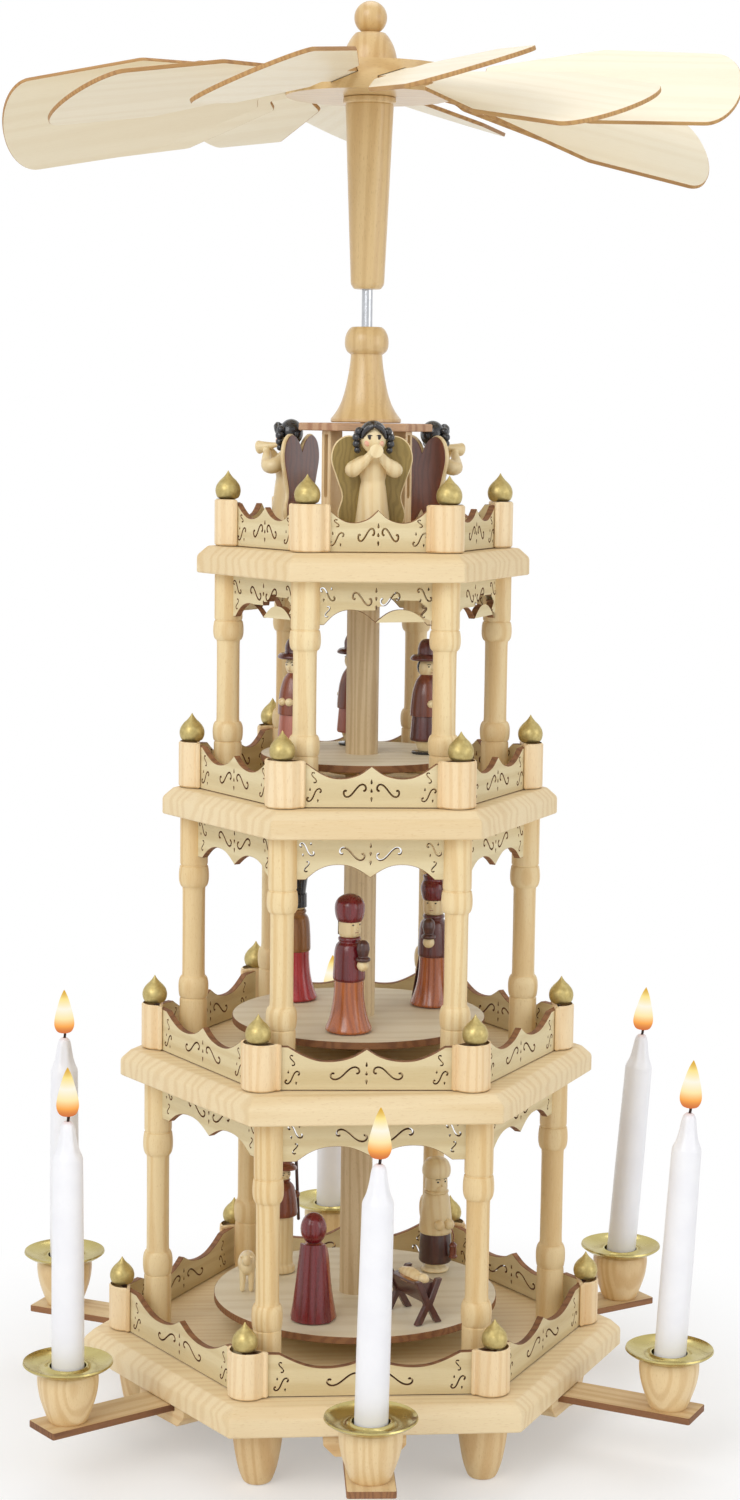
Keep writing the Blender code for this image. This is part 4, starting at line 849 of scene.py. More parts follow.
def fret_holes(half, top, flip):
    """The cut pattern of a panel, seen over half its free width to each side: a drop, a dot and a
    drop between two lying scrolls, and near each end a curled scroll with two dots under a small
    upright one. The panel's edge is at a height of top near its ends. Flipped, it hangs down."""
    holes = [drop(0, 11.3 * MM, 1.3 * MM, 2.2 * MM), drop(0, 7.4 * MM, 1.5 * MM, 1.8 * MM),
             drop(0, 3.6 * MM, 1.3 * MM, -2.2 * MM)]
    span = 0.335 * half
    reach = FRET_REACH * half
    tall = min(4.4 * MM, top - 12.2 * MM)
    for side in (-1, 1):
        lying = stroke(scroll_spine(238, 0, span, 5.4 * MM), 0.80 * MM)
        holes.append(lying * (side, 1) + (side * (0.085 * half + span / 2), 7.4 * MM))
        small = stroke(scroll_spine(185, 0, tall, 2.0 * MM, 26)[:, ::-1], 0.50 * MM)
        holes.append(small + (side * reach, 10.8 * MM + tall / 2))
        curled = stroke(scroll_spine(238, -20, 6.0 * MM, 5.4 * MM), 0.66 * MM)
        holes.append(curled * (-1, 1) + (side * reach, 5.5 * MM))
        holes.append(drop(side * reach - 1.7 * MM, 8.0 * MM, 1.0 * MM, 1.4 * MM))
        holes.append(drop(side * reach + 1.7 * MM, 3.0 * MM, 1.0 * MM, -1.4 * MM))
    if flip:
        holes = [hole * (1, -1) for hole in holes]
    return holes


def panel(chord):
    """A scooped railing panel pierced with scrolls."""
    half = chord / 2
    top = flowing(np.array(PANEL_TOP_SHARES) * (half, PANEL_HEIGHT), 6)
    right = np.vstack([top, [(half, PANEL_HEIGHT)]])
    left = right[:0:-1] * (-1, 1)
    outline = np.vstack([[(-half, 0), (half, 0)], right[::-1], left[::-1]])
    free = half - POST_RADIUS
    ends = np.interp(FRET_REACH * free, right[:, 0], right[:, 1])
    return plate(outline, PANEL_THICKNESS, fret_holes(free, ends, False)).along_x()


def railing_pieces(index):
    """The posts, gilt onions and pierced panels round one board."""
    node_name = "railing_%d" % (index + 1)
    foot = FLOORS[index] + SEAT_GAP
    circle = POST_CIRCLES[index]
    outline = softened(post_outline(), 0.5 * MM, 2, cyclic=True)
    posts = []
    onions = []
    for azimuth in corner_azimuths(RAILING_TURNS[index]):
        place = front(azimuth, circle, foot + POST_HEIGHT / 2)
        posts.append(plate(outline, POST_HEIGHT, burn=0.7 * MM).at(place))
        seat = front(azimuth, circle + POST_RADIUS * ONION_PLACE_SHARE, foot + POST_HEIGHT)
        onions.append(turned(onion_profile(ONION_RADIUS, ONION_HEIGHT), 32).at(seat))
    chord = circle + PANEL_INSET
    panels = [panel(chord).at(upright(azimuth, apothem(chord), foot))
              for azimuth in side_azimuths(RAILING_TURNS[index])]
    new_piece(node_name + "_posts", posts, "post", node_name, "stand")
    new_piece(node_name + "_onions", onions, "gilt", node_name, "stand")
    new_piece(node_name + "_panels", panels, "ply", node_name, "stand", edge="burnt")


def column_profile(height):
    """A turned column: plain ends, a groove and a ball-like bead at each, and the shaft."""
    foot = [(0.90, 0.0), (COLUMN_FOOT_SHARE, 0.007), (COLUMN_FOOT_SHARE, 0.206), (0.91, 0.212),
            (0.87, 0.214), (0.87, 0.219)]
    bead = flowing([(0.93, 0.221), (0.975, 0.236), (1.0, 0.258), (0.99, 0.280), (0.93, 0.298),
                    (0.84, 0.308)], 3)
    lower = np.vstack([foot, bead, [(0.785, 0.309), (0.765, 0.314), (0.75, 0.330), (0.745, 0.5)]])
    shares = np.vstack([lower, lower[-2::-1] * (1, -1) + (0, 1)])
    return shares * (COLUMN_RADIUS, height)


def arcade_pieces(tier):
    """The columns and the hanging valances of one tier."""
    node_name = "arcade_%d" % (tier + 1)
    foot = FLOORS[tier] + SEAT_GAP
    height = TIER_CLEARS[tier] - 2 * SEAT_GAP
    circle = COLUMN_CIRCLES[tier]
    profile = column_profile(height)
    columns = [turned(profile).at(front(azimuth, circle, foot))
               for azimuth in corner_azimuths(ARCADE_TURNS[tier])]
    half = circle / 2
    lower = flowing(np.array(VALANCE_BOTTOM_SHARES) * (half, -VALANCE_DEPTH), 6)
    right = np.vstack([lower, [(half, -VALANCE_DEPTH)]])
    left = right[:0:-1] * (-1, 1)
    outline = np.vstack([[(half, 0), (-half, 0)], left, right])
    free = half - COLUMN_FOOT_SHARE * COLUMN_RADIUS
    ends = np.interp(FRET_REACH * free, right[:, 0], -right[:, 1])
    valances = [plate(outline, PANEL_THICKNESS, fret_holes(free, ends, True)).along_x().at(
        upright(azimuth, apothem(circle), foot + height))
        for azimuth in side_azimuths(ARCADE_TURNS[tier])]
    new_piece(node_name + "_columns", columns, "column", node_name, "stand")
    new_piece(node_name + "_valances", valances, "ply", node_name, "stand", edge="burnt")


def arm_pieces(name, azimuth):
    """One candle arm with its turned cup, and the brass tray in the cup."""
    node_name = "candle_arm_" + name
    half = ARM_WIDTH / 2
    outline = softened([(-half, -ARM_ROOT), (-half, -ARM_END), (half, -ARM_END), (half, -ARM_ROOT)],
                       1.2 * MM, 3, cyclic=True)
    plank = plate(outline, ARM_THICKNESS).along_y()
    plank.at(front(azimuth, 0, ARM_TOP - ARM_THICKNESS / 2))
    new_piece(node_name + "_plank", [plank], "arm", node_name, "stand", edge="burnt")
    outer = flowing(mm([(7.9, 0), (8.7, 1.2), (10.3, 5.4), (12.0, 10.5), (12.9, 15.0),
                        (13.2, 19.2), (12.8, 21.6), (12.2, 22.5)]), 5)
    bore = mm([(8.8, 22.6), (8.8, 12.3)])
    cup = turned(np.vstack([outer, bore])).at(front(azimuth, CUP_CIRCLE, ARM_TOP))
    new_piece(node_name + "_cup", [cup], "cup", node_name, "stand")
    tray_name = "drip_tray_" + name
    outer_wall = SOCKET_RADIUS + SOCKET_WALL
    under = flowing([(outer_wall, 0), (CUP_RADIUS, 0), (16.5 * MM, 1.0 * MM),
                     (18.4 * MM, 2.1 * MM), (TRAY_RADIUS, TRAY_RISE)], 4)
    over = flowing([(TRAY_RADIUS - 0.2 * MM, TRAY_RISE + TRAY_SHEET), (18.0 * MM, 2.7 * MM),
                    (15.5 * MM, 1.5 * MM), (12.4 * MM, 0.8 * MM), (10.2 * MM, 0.9 * MM),
                    (9.0 * MM, 1.5 * MM), (8.5 * MM, 1.9 * MM), (SOCKET_RADIUS, 1.7 * MM)], 4)
    profile = np.vstack([[(TIP, -SOCKET_DEPTH), (outer_wall - SOFT, -SOCKET_DEPTH),
                          (outer_wall, SOFT - SOCKET_DEPTH)], under, over,
                         [(SOCKET_RADIUS, SOCKET_WALL - SOCKET_DEPTH),
                          (TIP, SOCKET_WALL - SOCKET_DEPTH)]])
    tray = turned(profile, 64).at(front(azimuth, CUP_CIRCLE, TRAY_FOOT))
    new_piece(tray_name + "_brass", [tray], "brass", tray_name, "stand")


def candle_pieces(name, azimuth):
    """A candle that may lean in its socket, with its wick and its flame."""
    node_name = "candle_" + name
    body = name + "_candle"
    lean = CANDLE_LEANS.get(name, 0)
    middle = (SOCKET_DEPTH - SOCKET_WALL) / 2
    foot = SEAT_GAP + CANDLE_RADIUS * math.sin(math.radians(lean)) - middle
    angle = math.radians(azimuth)
    pivot = shift(CUP_CIRCLE * math.cos(angle), CUP_CIRCLE * math.sin(angle),
                  TRAY_FOOT - SOCKET_DEPTH + SOCKET_WALL + middle)
    place = pivot @ turn(lean, "Y") @ shift(0, 0, foot)
    shoulder = CANDLE_LENGTH - CANDLE_TAPER
    body_line = [(6.4 * MM, 0), (7.0 * MM, 0.6 * MM), (6.95 * MM, shoulder * 0.5)]
    top_line = flowing([(6.5 * MM, shoulder), (6.2 * MM, shoulder + 1.4 * MM),
                        (4.9 * MM, shoulder + 4.6 * MM), (3.9 * MM, shoulder + 9.0 * MM),
                        (3.2 * MM, shoulder + 13.5 * MM), (2.5 * MM, CANDLE_LENGTH - 1.0 * MM),
                        (1.4 * MM, CANDLE_LENGTH)], 5)
    wax = turned(np.vstack([body_line, top_line]))
    radius = np.linalg.norm(wax.points[:, :2], axis=1)
    azimuths = np.arctan2(wax.points[:, 1], wax.points[:, 0])
    rise = np.clip((wax.points[:, 2] - shoulder) / CANDLE_TAPER, 0, 1)
    flute = 1 - 0.10 * np.sin(rise * HALF_TURN) * (0.5 - 0.5 * np.cos(6 * azimuths))
    wax.points[:, :2] *= np.where(radius > TIP, flute, 1)[:, None]
    new_piece(node_name + "_wax", [wax.at(place)], "wax", node_name, body)
    rise = np.linspace(0, 1, 9)
    bow = 0.35 * MM * np.sin(rise * HALF_TURN)
    line = np.column_stack([bow, 0 * bow, CANDLE_LENGTH - 0.6 * MM + rise * WICK_HEIGHT])
    wick = swept(line, 0.62 * MM, 10, (0, 1, 0)).at(place)
    new_piece(node_name + "_wick", [wick], "wick", node_name, body)
    shares = np.array([(0.10, 0.0), (0.62, 0.02), (0.90, 0.10), (1.0, 0.22), (0.90, 0.40),
                       (0.68, 0.60), (0.42, 0.80), (0.16, 0.94), (0.02, 1.0)])
    fire = turned(flowing(shares * (FLAME_RADIUS, FLAME_HEIGHT), 4), 32)
    fire.at(place @ shift(0, 0, CANDLE_LENGTH + FLAME_LIFT))
    new_piece(node_name + "_flame", [fire], "flame", node_name, body, scatter=False)


def roof_pieces():
    """The slotted uprights, the roof plate and the bell that guides the rod."""
    half = UPRIGHT_WIDTH / 2
    outline = [(-half, 0), (half, 0), (half, UPRIGHT_HEIGHT), (-half, UPRIGHT_HEIGHT)]
    angles = np.radians(np.linspace(180, 360, 9))
    slot = 1.35 * MM
    low = np.stack([slot * np.cos(angles), UPRIGHT_SLOT_FOOT + slot * np.sin(angles)], axis=-1)
    end = UPRIGHT_HEIGHT - UPRIGHT_SLOT_HEAD
    hole = np.vstack([low, [(slot, end), (-slot, end)]])
    outline = softened(outline, 0.5 * MM, 3, cyclic=True)
    posts = [plate(outline, UPRIGHT_DEPTH, [hole]).along_y().at(
        upright(azimuth, UPRIGHT_CIRCLE, FLOORS[3] + SEAT_GAP)) for azimuth in UPRIGHT_AZIMUTHS]
    new_piece("roof_uprights", posts, "post", "roof_stand", "stand", edge="cup")
    hole = circle_like(hexagon(ROOF_RADIUS), ROD_RADIUS + SEAT_GAP)
    rim = [(0.4 * MM, 0), (0, 0.4 * MM), (0, ROOF_THICKNESS - 0.5 * MM), (0.5 * MM, ROOF_THICKNESS)]
    rings = [level(hole, ROOF_BOTTOM)]
    rings += [level(hexagon(ROOF_RADIUS - inset, 1.0 * MM), ROOF_BOTTOM + up) for inset, up in rim]
    rings.append(level(hole, ROOF_BOTTOM + ROOF_THICKNESS))
    new_piece("roof_plate", [loft(rings, closed=True).along_x()], "roof", "roof_stand", "stand")
    outer = np.vstack([[(15.2, 0), (15.7, 0.5), (15.6, 1.6)],
                       flowing([(15.1, 2.2), (13.2, 4.8), (11.3, 8.4), (9.8, 12.8), (8.6, 18.0),
                                (7.6, 23.6), (7.1, 28.0), (7.0, 29.9)], 4),
                       flowing([(7.5, 30.2), (8.8, 31.4), (9.6, 33.4), (9.7, 36.0), (9.2, 38.6),
                                (8.1, 40.7), (7.0, 41.8)], 4), [(6.6, 42.0)]]) * MM
    bore = [(ROD_RADIUS + SEAT_GAP, BELL_HEIGHT), (ROD_RADIUS + SEAT_GAP, 0)]
    bell = turned(np.vstack([outer, bore]), 64, closed=True).at(shift(0, 0, BELL_FOOT))
    new_piece("bell_cap_wood", [bell], "golden", "bell_cap", "stand")


# What turns
def turntable_pieces(tier):
    """A plywood disc with a burnt rim, the boss under it and the pole over it."""
    node_name = "turntable_%d" % (tier + 1)
    top = TURNTABLE_TOPS[tier]
    radius = TURNTABLE_RADII[tier]
    under = top - TURNTABLE_THICKNESS
    bore = POLE_RADIUS - 1.0 * MM
    profile = np.array([(bore, under), (radius - BURN, under), (radius, under + BURN),
                        (radius, top - BURN), (radius - BURN, top), (bore, top)])
    disc = turned(profile, FINE_ROUND, closed=True).along_x()
    disc.edges = np.repeat([0, 1, 1, 1, 0, 0], FINE_ROUND).tolist()
    new_piece(node_name + "_disc", [disc], "disc", node_name, "carousel", edge="burnt")
    inner = ROD_RADIUS + SEAT_GAP
    boss = softened([(inner, under - BOSS_HEIGHT), (BOSS_RADIUS, under - BOSS_HEIGHT),
                     (BOSS_RADIUS, under), (inner, under)], SOFT, 3, cyclic=True)
    new_piece(node_name + "_boss", [turned(boss, closed=True)], "foot", node_name, "carousel")
    end = FLOORS[3] - SEAT_GAP
    if tier < 2:
        end = TURNTABLE_TOPS[tier + 1] - TURNTABLE_THICKNESS - BOSS_HEIGHT - SEAT_GAP
    pole = softened([(inner, under), (POLE_RADIUS, under), (POLE_RADIUS, end), (inner, end)],
                    SOFT, 3, cyclic=True)
    new_piece(node_name + "_pole", [turned(pole, closed=True)], "pole", node_name, "carousel")


def rod_piece():
    """The steel rod, from its point in the bearing to its end inside the spindle."""
    low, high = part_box("steel_rod")
    profile = [(TIP, low.z), (ROD_RADIUS, low.z + 4.0 * MM), (ROD_RADIUS, high.z - SOFT),
               (ROD_RADIUS - SOFT, high.z), (TIP, high.z)]
    rod = turned(softened(profile, 0.3 * MM, 3), 32)
    new_piece("steel_rod_polished", [rod], "steel", "steel_rod", "carousel")


def blade_matrix(index):
    """A blade's place: pitched, drooped about its slot and turned to its share of the circle."""
    azimuth = BLADE_PHASE + 360 * index / len(BLADE_TURNS) + BLADE_TURNS[index]
    slot = HUB_RADIUS - BLADE_SLOT_DEPTH / 2
    return (turn(azimuth) @ shift(slot, 0, HUB_MIDDLE) @ turn(BLADE_DROOPS[index], "Y")
            @ turn(BLADE_PITCHES[index], "X") @ shift(-slot, 0, 0))


def blade_outline():
    """A paddle: narrow neck, shoulder, flare to a kink, and an elliptical tip."""
    root = HUB_RADIUS - BLADE_SLOT_DEPTH
    neck = BLADE_NECK_HALF_WIDTH
    upper = mm([(0, neck), (BLADE_SHOULDER[0], neck), BLADE_SHOULDER, BLADE_KINK])
    upper[0, 0] = root
    angles = np.radians(np.linspace(90, 0, 15))
    tip = np.stack([BLADE_TIP[0] * MM + BLADE_TIP_LENGTH * MM * np.cos(angles),
                    BLADE_TIP[1] * MM * np.sin(angles)], axis=-1)
    soft = softened(np.vstack([upper, tip[:1]]), 1.6 * MM, 4)
    soft = np.vstack([soft, tip[1:]])
    return np.vstack([soft[::-1] * (1, -1), soft[:-1]])[::-1]


def rotor_pieces():
    """Spindle, slotted hub, knob and twelve blades."""
    cuff = SPINDLE_LENGTH - 3.0 * MM
    profile = softened([(ROD_RADIUS + SEAT_GAP, 0), (6.0 * MM, 0), (7.4 * MM, 2.2 * MM),
                        (9.0 * MM, cuff / 2), (10.6 * MM, cuff - 0.4 * MM), (10.3 * MM, cuff),
                        (11.6 * MM, cuff + 0.2 * MM), (11.6 * MM, SPINDLE_LENGTH - 0.3 * MM),
                        (10.9 * MM, SPINDLE_LENGTH), (TIP, SPINDLE_LENGTH)], 0.8 * MM, 3)
    spindle = turned(profile, 64).at(shift(0, 0, SPINDLE_FOOT))
    new_piece("spindle_wood", [spindle], "golden", "rotor_hub", "carousel")
    onion = flowing(mm([(11.3, 0), (11.8, 1.8), (11.5, 5.4), (10.2, 9.6), (8.3, 12.9),
                        (6.6, 14.9)]), 5)
    angles = np.radians(np.linspace(-62, 88, 20))
    centre = KNOB_HEIGHT + KNOB_BALL * math.cos(math.radians(30))
    top = np.stack([KNOB_BALL * np.cos(angles), centre + KNOB_BALL * np.sin(angles)], axis=-1)
    knob = turned(np.vstack([onion, top]), 64).at(shift(0, 0, KNOB_FOOT))
    new_piece("knob_wood", [knob], "golden", "rotor_hub", "carousel")
    new_piece("hub_wood", [hub_part()], "golden", "rotor_hub", "carousel")
    for index in range(len(BLADE_TURNS)):
        blade = plate(blade_outline(), BLADE_THICKNESS, burn=0.25 * MM).along_x()
        name = "rotor_blade_%02d" % (index + 1)
        new_piece(name + "_ply", [blade.at(blade_matrix(index))], "blade", name, "carousel",
                  edge="blade_edge")


def hub_part():
    """The hub: the slotted disc out of a copy of the frame's glued piece. Its loose triangles are
    joined, and the seats of the spindle and the knob are closed."""
    shape = bmesh.new()
    shape.from_mesh(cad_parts["rotor_hub"].data)
    bmesh.ops.remove_doubles(shape, verts=shape.verts, dist=0.01 * MM)
    away = [vert for vert in shape.verts if not HUB_FOOT - TIP < vert.co.z < KNOB_FOOT + TIP]
    bmesh.ops.delete(shape, geom=away, context="VERTS")
    bmesh.ops.holes_fill(shape, edges=shape.edges, sides=0)
    bmesh.ops.recalc_face_normals(shape, faces=shape.faces)
    points = np.array([vert.co for vert in shape.verts])
    shape.verts.index_update()
    faces = [[vert.index for vert in face.verts] for face in shape.faces]
    shape.free()
    return Part(points, faces).along_x()


# Figures. Each is drawn facing -Y, and then stands at its place.
def standing(place, floor, facing=0.0, stretch=(1, 1, 1)):
    """A figure's place on a floor, turned by facing degrees from facing outwards, and stretched."""
    return front(*place, floor + SEAT_GAP) @ turn(facing) @ Matrix.Diagonal((*stretch, 1))


def lathe(pairs, steps=40, round_off=0.5):
    """A turned part of a figure from (radius, height) pairs in millimetres, its corners eased."""
    return turned(softened(mm(pairs), round_off * MM, 3), steps)


def smooth_lathe(pairs, steps=40):
    """A turned part whose profile flows through its points."""
    return turned(flowing(mm(pairs), 4), steps)


def on_head(radius, azimuth, height, ahead=0.0):
    """A point on a head of a radius, at an azimuth in degrees from its front."""
    angle = math.radians(azimuth)
    reach = radius + ahead
    return (reach * math.sin(angle), -reach * math.cos(angle), height)


def calm_face(radius, chin, crown):
    """A plain carved face: eyes at half the head's height, nose at a third and mouth at a fifth.
    The nose belongs to the head, and the dark features and the mouth are groups of their own."""
    tall = crown - chin
    eye = chin + tall * 0.50
    ink = []
    for side in (-1, 1):
        eyeball = ball((0, 0, 0), (0.10 * radius, 0.05 * radius, 0.075 * radius), 14)
        ink.append(eyeball.at(shift(*on_head(radius, side * 22, eye)) @ turn(side * 22)))
        line = [on_head(radius, side * angle, eye + tall * rise, 0.02 * radius)
                for angle, rise in ((11, 0.105), (18, 0.125), (26, 0.125), (33, 0.10))]
        ink.append(swept(line, 0.028 * radius, 8))
    mouth = [on_head(radius, angle, chin + tall * 0.19, 0.01 * radius) for angle in (-9, -3, 3, 9)]
    bridge = (0.10 * radius, 0.15 * radius, 0.14 * radius)
    nose = ball(on_head(radius, 0, chin + tall * 0.34), bridge, 14)
    return nose, ("features", "ink", ink), ("mouth", "rose", [swept(mouth, 0.032 * radius, 8)])


def hand_pair(reach, height, apart=2.0, size=2.3):
    """Two round hands held together in front, in millimetres."""
    return [ball(mm((side * apart, -reach, height)), size * MM, 20) for side in (-1, 1)]


def figure_pieces(node_name, body, place, groups, figure=""):
    """Make each group of a figure's parts a piece of its own, moved to the figure's place. A figure
    that shares its node with others has a name of its own too."""
    for suffix, finish, parts in groups:
        moved = [part.at(place) for part in parts]
        new_piece(node_name + figure + "_" + suffix, moved, finish, node_name, body)


def wedge_shell(radius_low, radius_high, low, high, start, end, thick=0.6, steps=18):
    """A curved strip that hugs a cone, between two azimuths from its front and two heights."""
    azimuths = np.radians(np.linspace(start, end, steps))
    rows = np.linspace(0, 1, 10)
    radius = (radius_low + (radius_high - radius_low) * rows)[:, None]
    height = np.repeat((low + (high - low) * rows)[:, None], steps, axis=1)
    outer, inner = (np.stack([reach * np.sin(azimuths), -reach * np.cos(azimuths), height], axis=-1)
                    for reach in (radius, radius - thick))
    rings = np.concatenate([outer, inner[:, ::-1]], axis=1)
    return loft(rings * MM)


def king(index, floor):
    """A king in a flared robe and a short jacket, with a round hat, carrying a jar."""
    robe, jacket, hat = (("copper", "wine", "wine"), ("copper", "plum", "wine"),
                         ("crimson", "tan", "hair"))[index]
    skirt = smooth_lathe([(9.4, 0), (10.3, 0.7), (10.2, 1.8), (9.2, 4.2), (8.0, 8.2), (7.1, 13.0),
                          (6.6, 18.5), (6.5, 24.5)])
    coat = lathe([(4.0, 23.4), (6.9, 23.4), (7.2, 24.6), (7.0, 31.0), (6.6, 37.0), (5.9, 39.8),
                  (4.8, 41.0), (4.6, 41.4), (5.1, 42.2), (4.9, 43.4), (3.0, 43.6)], round_off=1.0)
    head = lathe([(3.0, 43.2), (4.4, 43.6), (5.0, 45.2), (5.1, 48.0), (5.0, 51.0), (3.0, 51.2)],
                 round_off=0.9)
    hats = ([(4.6, 50.4), (5.4, 50.8), (6.3, 53.2), (6.7, 56.4), (6.4, 58.8), (5.3, 60.8),
             (3.4, 62.3), (1.6, 62.9), (0, 63.0)],
            [(4.5, 50.4), (5.3, 50.9), (6.0, 53.4), (6.3, 56.2), (5.7, 58.6), (5.0, 60.0),
             (5.3, 61.8), (4.6, 62.2), (3.4, 60.8), (1.4, 61.6), (0, 63.0)],
            [(4.2, 50.4), (4.6, 51.0), (4.9, 53.6), (5.4, 57.5), (6.1, 61.8), (6.0, 62.8),
             (5.2, 62.6), (0, 62.2)])[index]
    nose, *face = calm_face(5.0 * MM, 43.8 * MM, 55.0 * MM)
    hair = [wedge_shell(5.25, 5.2, 44.6, 51.0, 118, 242)]
    gift = [ball(mm((0, -9.4, 31.6)), 2.7 * MM)]
    jar = [lathe([(0, 33.2), (2.0, 33.2), (3.3, 33.8), (3.3, 35.0), (2.1, 35.6), (2.4, 36.6),
                  (3.0, 39.0), (2.6, 41.6), (1.4, 43.0), (0, 43.3)], 28).at(shift(0, -9.4 * MM, 0))]
    groups = [("robe", robe, [skirt]), ("jacket", jacket, [coat]),
              ("head", "cream", [head, nose, *gift]), ("hat", hat, [smooth_lathe(hats)]),
              ("hair", "hair", hair), *face, ("jar", "dark", jar)]
    if index == 1:
        groups.append(("cloak", "plum", [wedge_shell(10.6, 6.9, 0.6, 24.0, 95, 265)]))
    stand = standing(KING_PLACES[index], floor, KING_FACINGS[index], KING_STRETCH)
    figure_pieces("king_%d" % (index + 1), "carousel", stand, groups)


def woman(floor):
    """A woman in a long robe, a red cloak over her head and down her back."""
    robe = smooth_lathe([(9.6, 0), (10.3, 0.8), (10.1, 2.4), (9.0, 8.0), (7.9, 15.0), (7.2, 22.0),
                         (6.6, 28.0), (5.6, 31.4), (3.6, 33.2), (2.8, 34.0)])
    head = ball(mm((0, 0, 38.2)), mm((4.7, 4.7, 5.2)))
    hair = [ball(mm((0, 0.5, 39.9)), mm((4.9, 4.7, 4.6)))]
    hood = ball(mm((0, 1.5, 39.8)), mm((5.9, 5.4, 7.0)), 28)
    keep = (hood.points[:, 1] > -1.2 * MM) | (hood.points[:, 2] > 44.0 * MM)
    hood.points[:, 1] = np.where(keep, hood.points[:, 1], -1.2 * MM)
    cloak = wedge_shell(10.7, 6.4, 0.3, 33.5, 120, 240, 0.9)
    nose, *face = calm_face(4.6 * MM, 33.4 * MM, 43.4 * MM)
    groups = [("robe", "russet", [robe]), ("head", "cream", [head, nose, *hand_pair(8.2, 20.0)]),
              ("hair", "hair", hair), ("cloak", "wine", [cloak, hood]), *face]
    stand = standing(WOMAN_PLACE, floor, WOMAN_FACING, WOMAN_STRETCH)
    figure_pieces("figure_woman", "carousel", stand, groups)


def bearded_man(floor):
    """A man in a round turban and a pale coat over a dark skirt, with a lantern in his hand."""
    foot = lathe([(4.0, 0), (6.2, 0), (6.8, 0.8), (6.0, 2.2), (4.6, 3.0), (5.4, 4.6), (4.0, 5.0)])
    skirt = lathe([(4.0, 4.4), (7.2, 4.4), (7.8, 5.4), (7.6, 12.0), (7.2, 19.6), (4.0, 19.8)])
    coat = lathe([(4.0, 18.6), (7.6, 18.6), (8.0, 19.8), (7.2, 29.0), (6.4, 35.4), (5.2, 38.0),
                  (3.4, 38.6)], round_off=0.9)
    collar = smooth_lathe([(3.2, 37.6), (5.4, 37.8), (5.9, 38.5), (5.4, 39.2), (3.4, 39.4)])
    head = lathe([(3.0, 38.6), (4.9, 39.0), (5.4, 40.2), (5.3, 43.2), (5.1, 45.8), (3.0, 46.0)],
                 round_off=1.0)
    turban = smooth_lathe([(4.8, 45.2), (6.2, 46.0), (6.8, 48.2), (6.5, 50.8), (5.3, 53.2),
                           (3.2, 54.6), (0, 54.9)])
    beard = [ball(mm((0, -3.6, 40.4)), mm((3.2, 2.4, 2.6)))]
    lantern = lathe([(0, 8.0), (2.0, 8.0), (2.0, 9.0), (1.6, 9.2), (1.6, 13.6), (2.0, 13.8),
                     (1.0, 15.4), (0, 15.6)], 24).at(shift(4.0 * MM, -9.6 * MM, 0))
    strap = swept(mm([(4.0, -9.6, 15.0), (4.0, -9.8, 19.0), (3.2, -9.0, 22.6)]), 0.3 * MM, 8,
                  (0, 1, 0))
    nose, *face = calm_face(5.3 * MM, 38.4 * MM, 49.6 * MM)
    groups = [("foot", "cream", [foot]), ("skirt", "dark", [skirt]),
              ("coat", "cream", [coat, collar, *hand_pair(7.8, 24.0, 2.6, 2.6)]),
              ("head", "cream", [head, turban, *beard, nose]), *face,
              ("lantern", "brown", [lantern, strap])]
    stand = standing(BEARDED_MAN_PLACE, floor, BEARDED_MAN_FACING)
    figure_pieces("figure_bearded_man", "carousel", stand, groups)


def herdsman(floor):
    """A herdsman in a short brown coat and a brimmed hat, leaning on a staff."""
    robe = lathe([(4.0, 0), (6.4, 0), (6.9, 0.9), (6.6, 3.4), (5.6, 4.4), (5.7, 18.0), (5.8, 31.0),
                  (3.0, 31.2)], round_off=0.9)
    coat = smooth_lathe([(4.0, 29.8), (7.0, 29.9), (7.7, 31.0), (7.6, 34.0), (7.0, 40.0),
                         (6.0, 44.6), (4.4, 47.0), (3.8, 47.6), (4.2, 48.4), (3.4, 49.0)])
    head = ball(mm((0, 0, 51.6)), mm((4.3, 4.3, 4.7)))
    hair = [ball(mm((0, 1.4, 51.4)), mm((4.3, 3.6, 4.4)))]
    hat = smooth_lathe([(0, 54.4), (4.0, 54.2), (7.0, 54.6), (7.3, 55.6), (6.2, 56.8), (4.8, 57.6),
                        (4.6, 59.6), (3.8, 61.6), (1.8, 62.6), (0, 62.7)])
    hat.at(shift(0, 0, 56 * MM) @ turn(6, "Y") @ shift(0, 0, -56 * MM))
    staff = swept(mm([(9.6, 0, 26.0), (8.9, 0, 40.0), (7.8, 0, 62.8)]), 0.75 * MM, 12, (0, 1, 0))
    fist = ball(mm((7.4, -0.6, 39.6)), 2.2 * MM)
    nose, *face = calm_face(4.4 * MM, 47.4 * MM, 56.4 * MM)
    groups = [("robe", "cream", [robe]), ("coat", "brown", [coat]),
              ("head", "cream", [head, nose]), ("hair", "hair", hair), ("hat", "brown", [hat]),
              ("staff", "dark", [staff]), ("fist", "brown", [fist]), *face]
    stand = standing(HERDSMAN_PLACE, floor, HERDSMAN_FACING, HERDSMAN_STRETCH)
    figure_pieces("figure_herdsman", "carousel", stand, groups)


